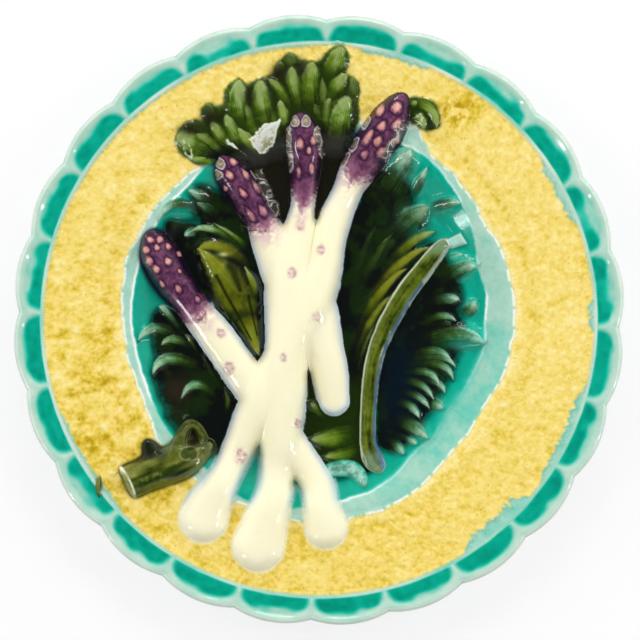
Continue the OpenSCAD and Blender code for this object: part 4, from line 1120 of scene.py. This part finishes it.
AXIS_R = 0.0004  # the body's rings begin and end this near its axis
theta = circle(504)
edge, _ = outline(theta)
top_r = np.concatenate([np.linspace(AXIS_R, WALL_OUT, 76), [0.0755, 0.079, 0.086, 0.094, 0.1015]])
rows = [ring(r, theta, glazed(r, theta) - 0.4 * ease(WELL_IN, WELL_IN + 0.002, r)) for r in top_r]
for share, drop in ((0.97, 0.4), (0.99, 0.5), (0.9995, 1.4), (1.0, 2.3), (0.9985, 3.2), (0.994, 3.9)):
    rows.append(ring(edge * share, theta, ground(edge) - drop))
for r in np.concatenate([np.linspace(0.985, 0.66, 22) * PLATE_R, np.linspace(WELL_R, AXIS_R, 24)]):
    r = np.minimum(r, edge * 0.985)
    rows.append(ring(r, theta, underside(r)))
rows = np.array(rows)
colours = painted(rows)
below = len(top_r) + 2
back = ramp(0.16 + 0.5 * ease(0.5, 0.8, cloud(rows[..., 0], rows[..., 1], 46, 70)), SEA)
colours[below:] = back[below:]
turned("plate_body", rows, colours, "yellow_glaze", ["plate_body"])
layer("rim_glaze", np.linspace(RIM_IN, RIM_OUT, 74), 1260, "yellow_glaze", brushed)

# The bead, with fine ticks across it
TICKS = 640
theta = circle(TICKS * 5)
wave = np.cos(theta * TICKS)
rows = np.array([
    ring(r, theta, ground(r) + h
         + 0.05 * wave * ease(0.1024, 0.1032, r) * ease(0.105, 0.1038, r) * (h > -0.5))
    for r, h in ((0.1015, -0.40), (0.1019, -0.10), (0.1023, 0.08), (0.1028, 0.24), (0.1033, 0.36),
                 (0.1038, 0.42), (0.1043, 0.43), (0.1048, 0.38), (0.1052, 0.3), (0.1052, -0.8),
                 (0.1015, -0.8))])
px = np.hypot(rows[..., 0] - CENTRE[0], rows[..., 1] - CENTRE[1])
pools = lattice(np.degrees(theta) / 9, 0 * px, 40, 12)
band = ramp(0.15 - 0.025 * wave + 0.28 * (pools - 0.4) + 0.06 * ease(276, 280.5, px), SEA)
colours = over(painted(rows), band, ease(274.5, 277, px - 0.3 * wave))
turned("border_bead", rows, colours, "pale_turquoise_glaze", ["border_bead"])

# The lobes: an arched edge round a pool of glaze. How full each pool is, from the right
POOLS = [0.55, 0.25, 1.0, 0.45, 0.4, 1.0, 0.8, 0.35, 0.85, 1.0, 0.95, 0.45,
         1.0, 0.95, 0.4, 0.95, 1.0, 0.5, 0.9, 0.85, 1.1, 1.0, 0.65, 1.0]
LOBE_IN, LOBE_HALF, LOBE_H = 277.0, 37.0, 23.0  # a pool's foot, half width and height
turn = math.radians(LOBE_TURN)
theta = circle(LOBES * 60) + turn
fill = np.array(POOLS)[np.round((theta - turn) / (2 * math.pi / LOBES)).astype(int) % LOBES]
edge, phi = outline(theta)
rows, colours = [], []
for share in np.concatenate([np.linspace(0, 0.9, 46), [0.93, 0.955, 0.975, 0.99, 1.0]]):
    r = BORDER_IN_R + (edge - BORDER_IN_R) * share
    px = r / PX
    v = px - LOBE_IN
    u = np.abs(phi * px)
    q = ((u / LOBE_HALF) ** 3 + (np.maximum(v, 0) / LOBE_H) ** 3) ** (1 / 3)
    inland = ease(277.5, 281.0, px)
    pool = ease(1.03, 0.80, q) * inland
    off_edge = (edge - r) / PX
    lip = np.sqrt(np.clip(1 - np.clip(1 - off_edge / 4.0, 0, 1) ** 2, 0, 1))
    notch = ease(1.22, 1.42, q) * ease(30, 36, u)
    rise = 1.2 * ease(277.5, 284.0, px) * lip * (1 - 0.78 * pool) * (0.6 + 0.4 * bell(q, 1.10, 0.13))
    z = ground(r) + 0.34 + rise - 0.7 * notch - 1.2 * (1 - lip)
    rows.append(ring(r, theta, np.minimum(z, TOP)))
    blot = lattice(np.degrees(theta) / 2.4, v / 9, 150, 14)
    streak = lattice(np.degrees(theta) / 1.1, v / 4, 330, 15)
    ends = 0.55 * ease(8, 24, u) * (1 - np.minimum(fill, 1))
    full = ease(0.1, 0.85, fill + ends + 0.30 * (blot - 0.5) - 1.0 * ease(7, 22, v) + 0.28)
    depth = 0.20 + 0.12 * (blot - 0.5) + pool * (0.10 + 0.40 * full + 0.08 * (streak - 0.5))
    # the last term is a painted highlight: paler along the lip, three pixels in from the edge
    depth = depth + 0.12 * (1 - inland) * (blot - 0.2) + 0.5 * notch - 0.16 * bell(off_edge, 3.0, 1.0)
    colours.append(over(ramp(depth, SEA), (204, 202, 192), 0.7 * bell(off_edge, 0.3, 1.0)))
for r, high, colour in ((edge * 0.9985, edge, colours[-1]), (BORDER_IN_R, BORDER_IN_R, colours[0])):
    rows.append(ring(r, theta, ground(high) - 0.6))
    colours.append(colour)
turned("lobed_border", np.array(rows), np.array(colours), "turquoise_glaze", ["lobed_border"])

# The foot ring: its section from outside to inside
theta = circle(360)
rows = np.array([ring(r, theta, z) for r, z in (
    (FOOT_R + 0.0008, 5.35), (FOOT_R - 0.0001, 4.6), (FOOT_R - 0.0008, 2.6),
    (REST_R + REST_HALF + 0.0002, 0.5), (REST_R + REST_HALF - 0.0003, 0.08),
    (REST_R + REST_HALF - 0.001, 0), (REST_R - REST_HALF + 0.001, 0),
    (REST_R - REST_HALF + 0.0003, 0.08), (REST_R - REST_HALF - 0.0002, 0.45),
    (FOOT_IN_R + 0.0008, 2.4), (FOOT_IN_R + 0.0002, 4.4), (FOOT_IN_R - 0.0006, 5.2))])
x, y, z = np.moveaxis(rows, -1, 0)
bare = ease(0.9, 0.3, z + 0.5 * cloud(x, y, 12, 71))
shell = ramp(0.2 + 0.4 * cloud(x, y, 30, 72), SEA)
turned("foot_ring", rows, over(shell, (206, 192, 160), bare), "foot_clay", ["foot_ring"])

# ---------------------------------------------------------------- floor, light and camera
FLOOR_HALF = 3.0
stage = bpy.data.meshes.new("floor")
stage.from_pydata([(FLOOR_HALF * x, FLOOR_HALF * y, 0) for x, y in ((-1, -1), (1, -1), (1, 1), (-1, 1))],
                  [], [(0, 1, 2, 3)])
floor = bpy.data.objects.new("floor", stage)
bpy.context.scene.collection.objects.link(floor)
n = Nodes(bpy.data.materials.new("floor_paper"))
paper = n.nodes["Principled BSDF"]
n.feed(paper, {"Roughness": 0.9, "Specular IOR Level": 0.0,
               "Base Color": n.greys(n.noise(30, 2), [(0.3, linear(250)), (0.7, linear(253))])})
white = n.add("Emission", {"Strength": 1.0})
seen = n.add("LightPath").outputs
share = n.math("MAXIMUM", n.math("MAXIMUM", seen["Is Camera Ray"], seen["Is Glossy Ray"]),
               seen["Is Transmission Ray"])
both = n.add("MixShader", {0: n.math("MULTIPLY", share, 0.8), 1: paper.outputs[0], 2: white.outputs[0]})
n.feed(n.nodes["Material Output"], {"Surface": both.outputs[0]})
stage.materials.append(n.owner)

world = bpy.data.worlds.new("studio")
bpy.context.scene.world = world
n = Nodes(world)
split = n.add("SeparateXYZ", {0: n.place["Generated"]})
n.feed(n.nodes["Background"], {
    "Strength": n.span(n.add("LightPath").outputs["Is Diffuse Ray"], 0.0, 1.0, 1.0, 2.6),
    "Color": n.greys(split.outputs["Z"], [(0.25, 0.36), (0.72, 0.03)])})


def softbox(name, place, size, power, reflected):
    lamp = bpy.data.lights.new(name, "AREA")
    lamp.shape = "RECTANGLE"
    lamp.size, lamp.size_y = size
    lamp.energy = power
    holder = bpy.data.objects.new(name, lamp)
    bpy.context.scene.collection.objects.link(holder)
    holder.location = place
    holder.rotation_euler = (-Vector(place)).to_track_quat("-Z", "Y").to_euler()
    holder.visible_glossy = reflected


softbox("left_box", (-0.80, 0.30, 0.85), (0.5, 0.8), 5.2, False)
softbox("right_box", (0.80, 0.20, 0.85), (0.5, 0.8), 4.7, False)
softbox("top_box", (0.1, 0.75, 0.95), (0.7, 0.35), 4.4, False)
softbox("left_strip", (-0.82, -0.57, 0.32), (0.07, 0.55), 1.4, True)
softbox("right_strip", (0.94, -0.34, 0.30), (0.06, 0.50), 1.1, True)
softbox("top_strip", (0.10, 1.00, 0.34), (0.50, 0.06), 1.0, True)

CAMERA_H = 3.0
SENSOR = 36
camera_data = bpy.data.cameras.new("camera")
camera = bpy.data.objects.new("camera", camera_data)
bpy.context.scene.collection.objects.link(camera)
camera.location = ((IMAGE / 2 - CENTRE[0]) * PX, (CENTRE[1] - IMAGE / 2) * PX, CAMERA_H)
camera.rotation_euler = (0, 0, 0)
camera_data.sensor_width = SENSOR
camera_data.lens = SENSOR * (CAMERA_H - TOP * MM) / (IMAGE * PX)
camera_data.clip_end = 20
bpy.context.scene.camera = camera
bpy.context.scene.view_settings.view_transform = "Standard"
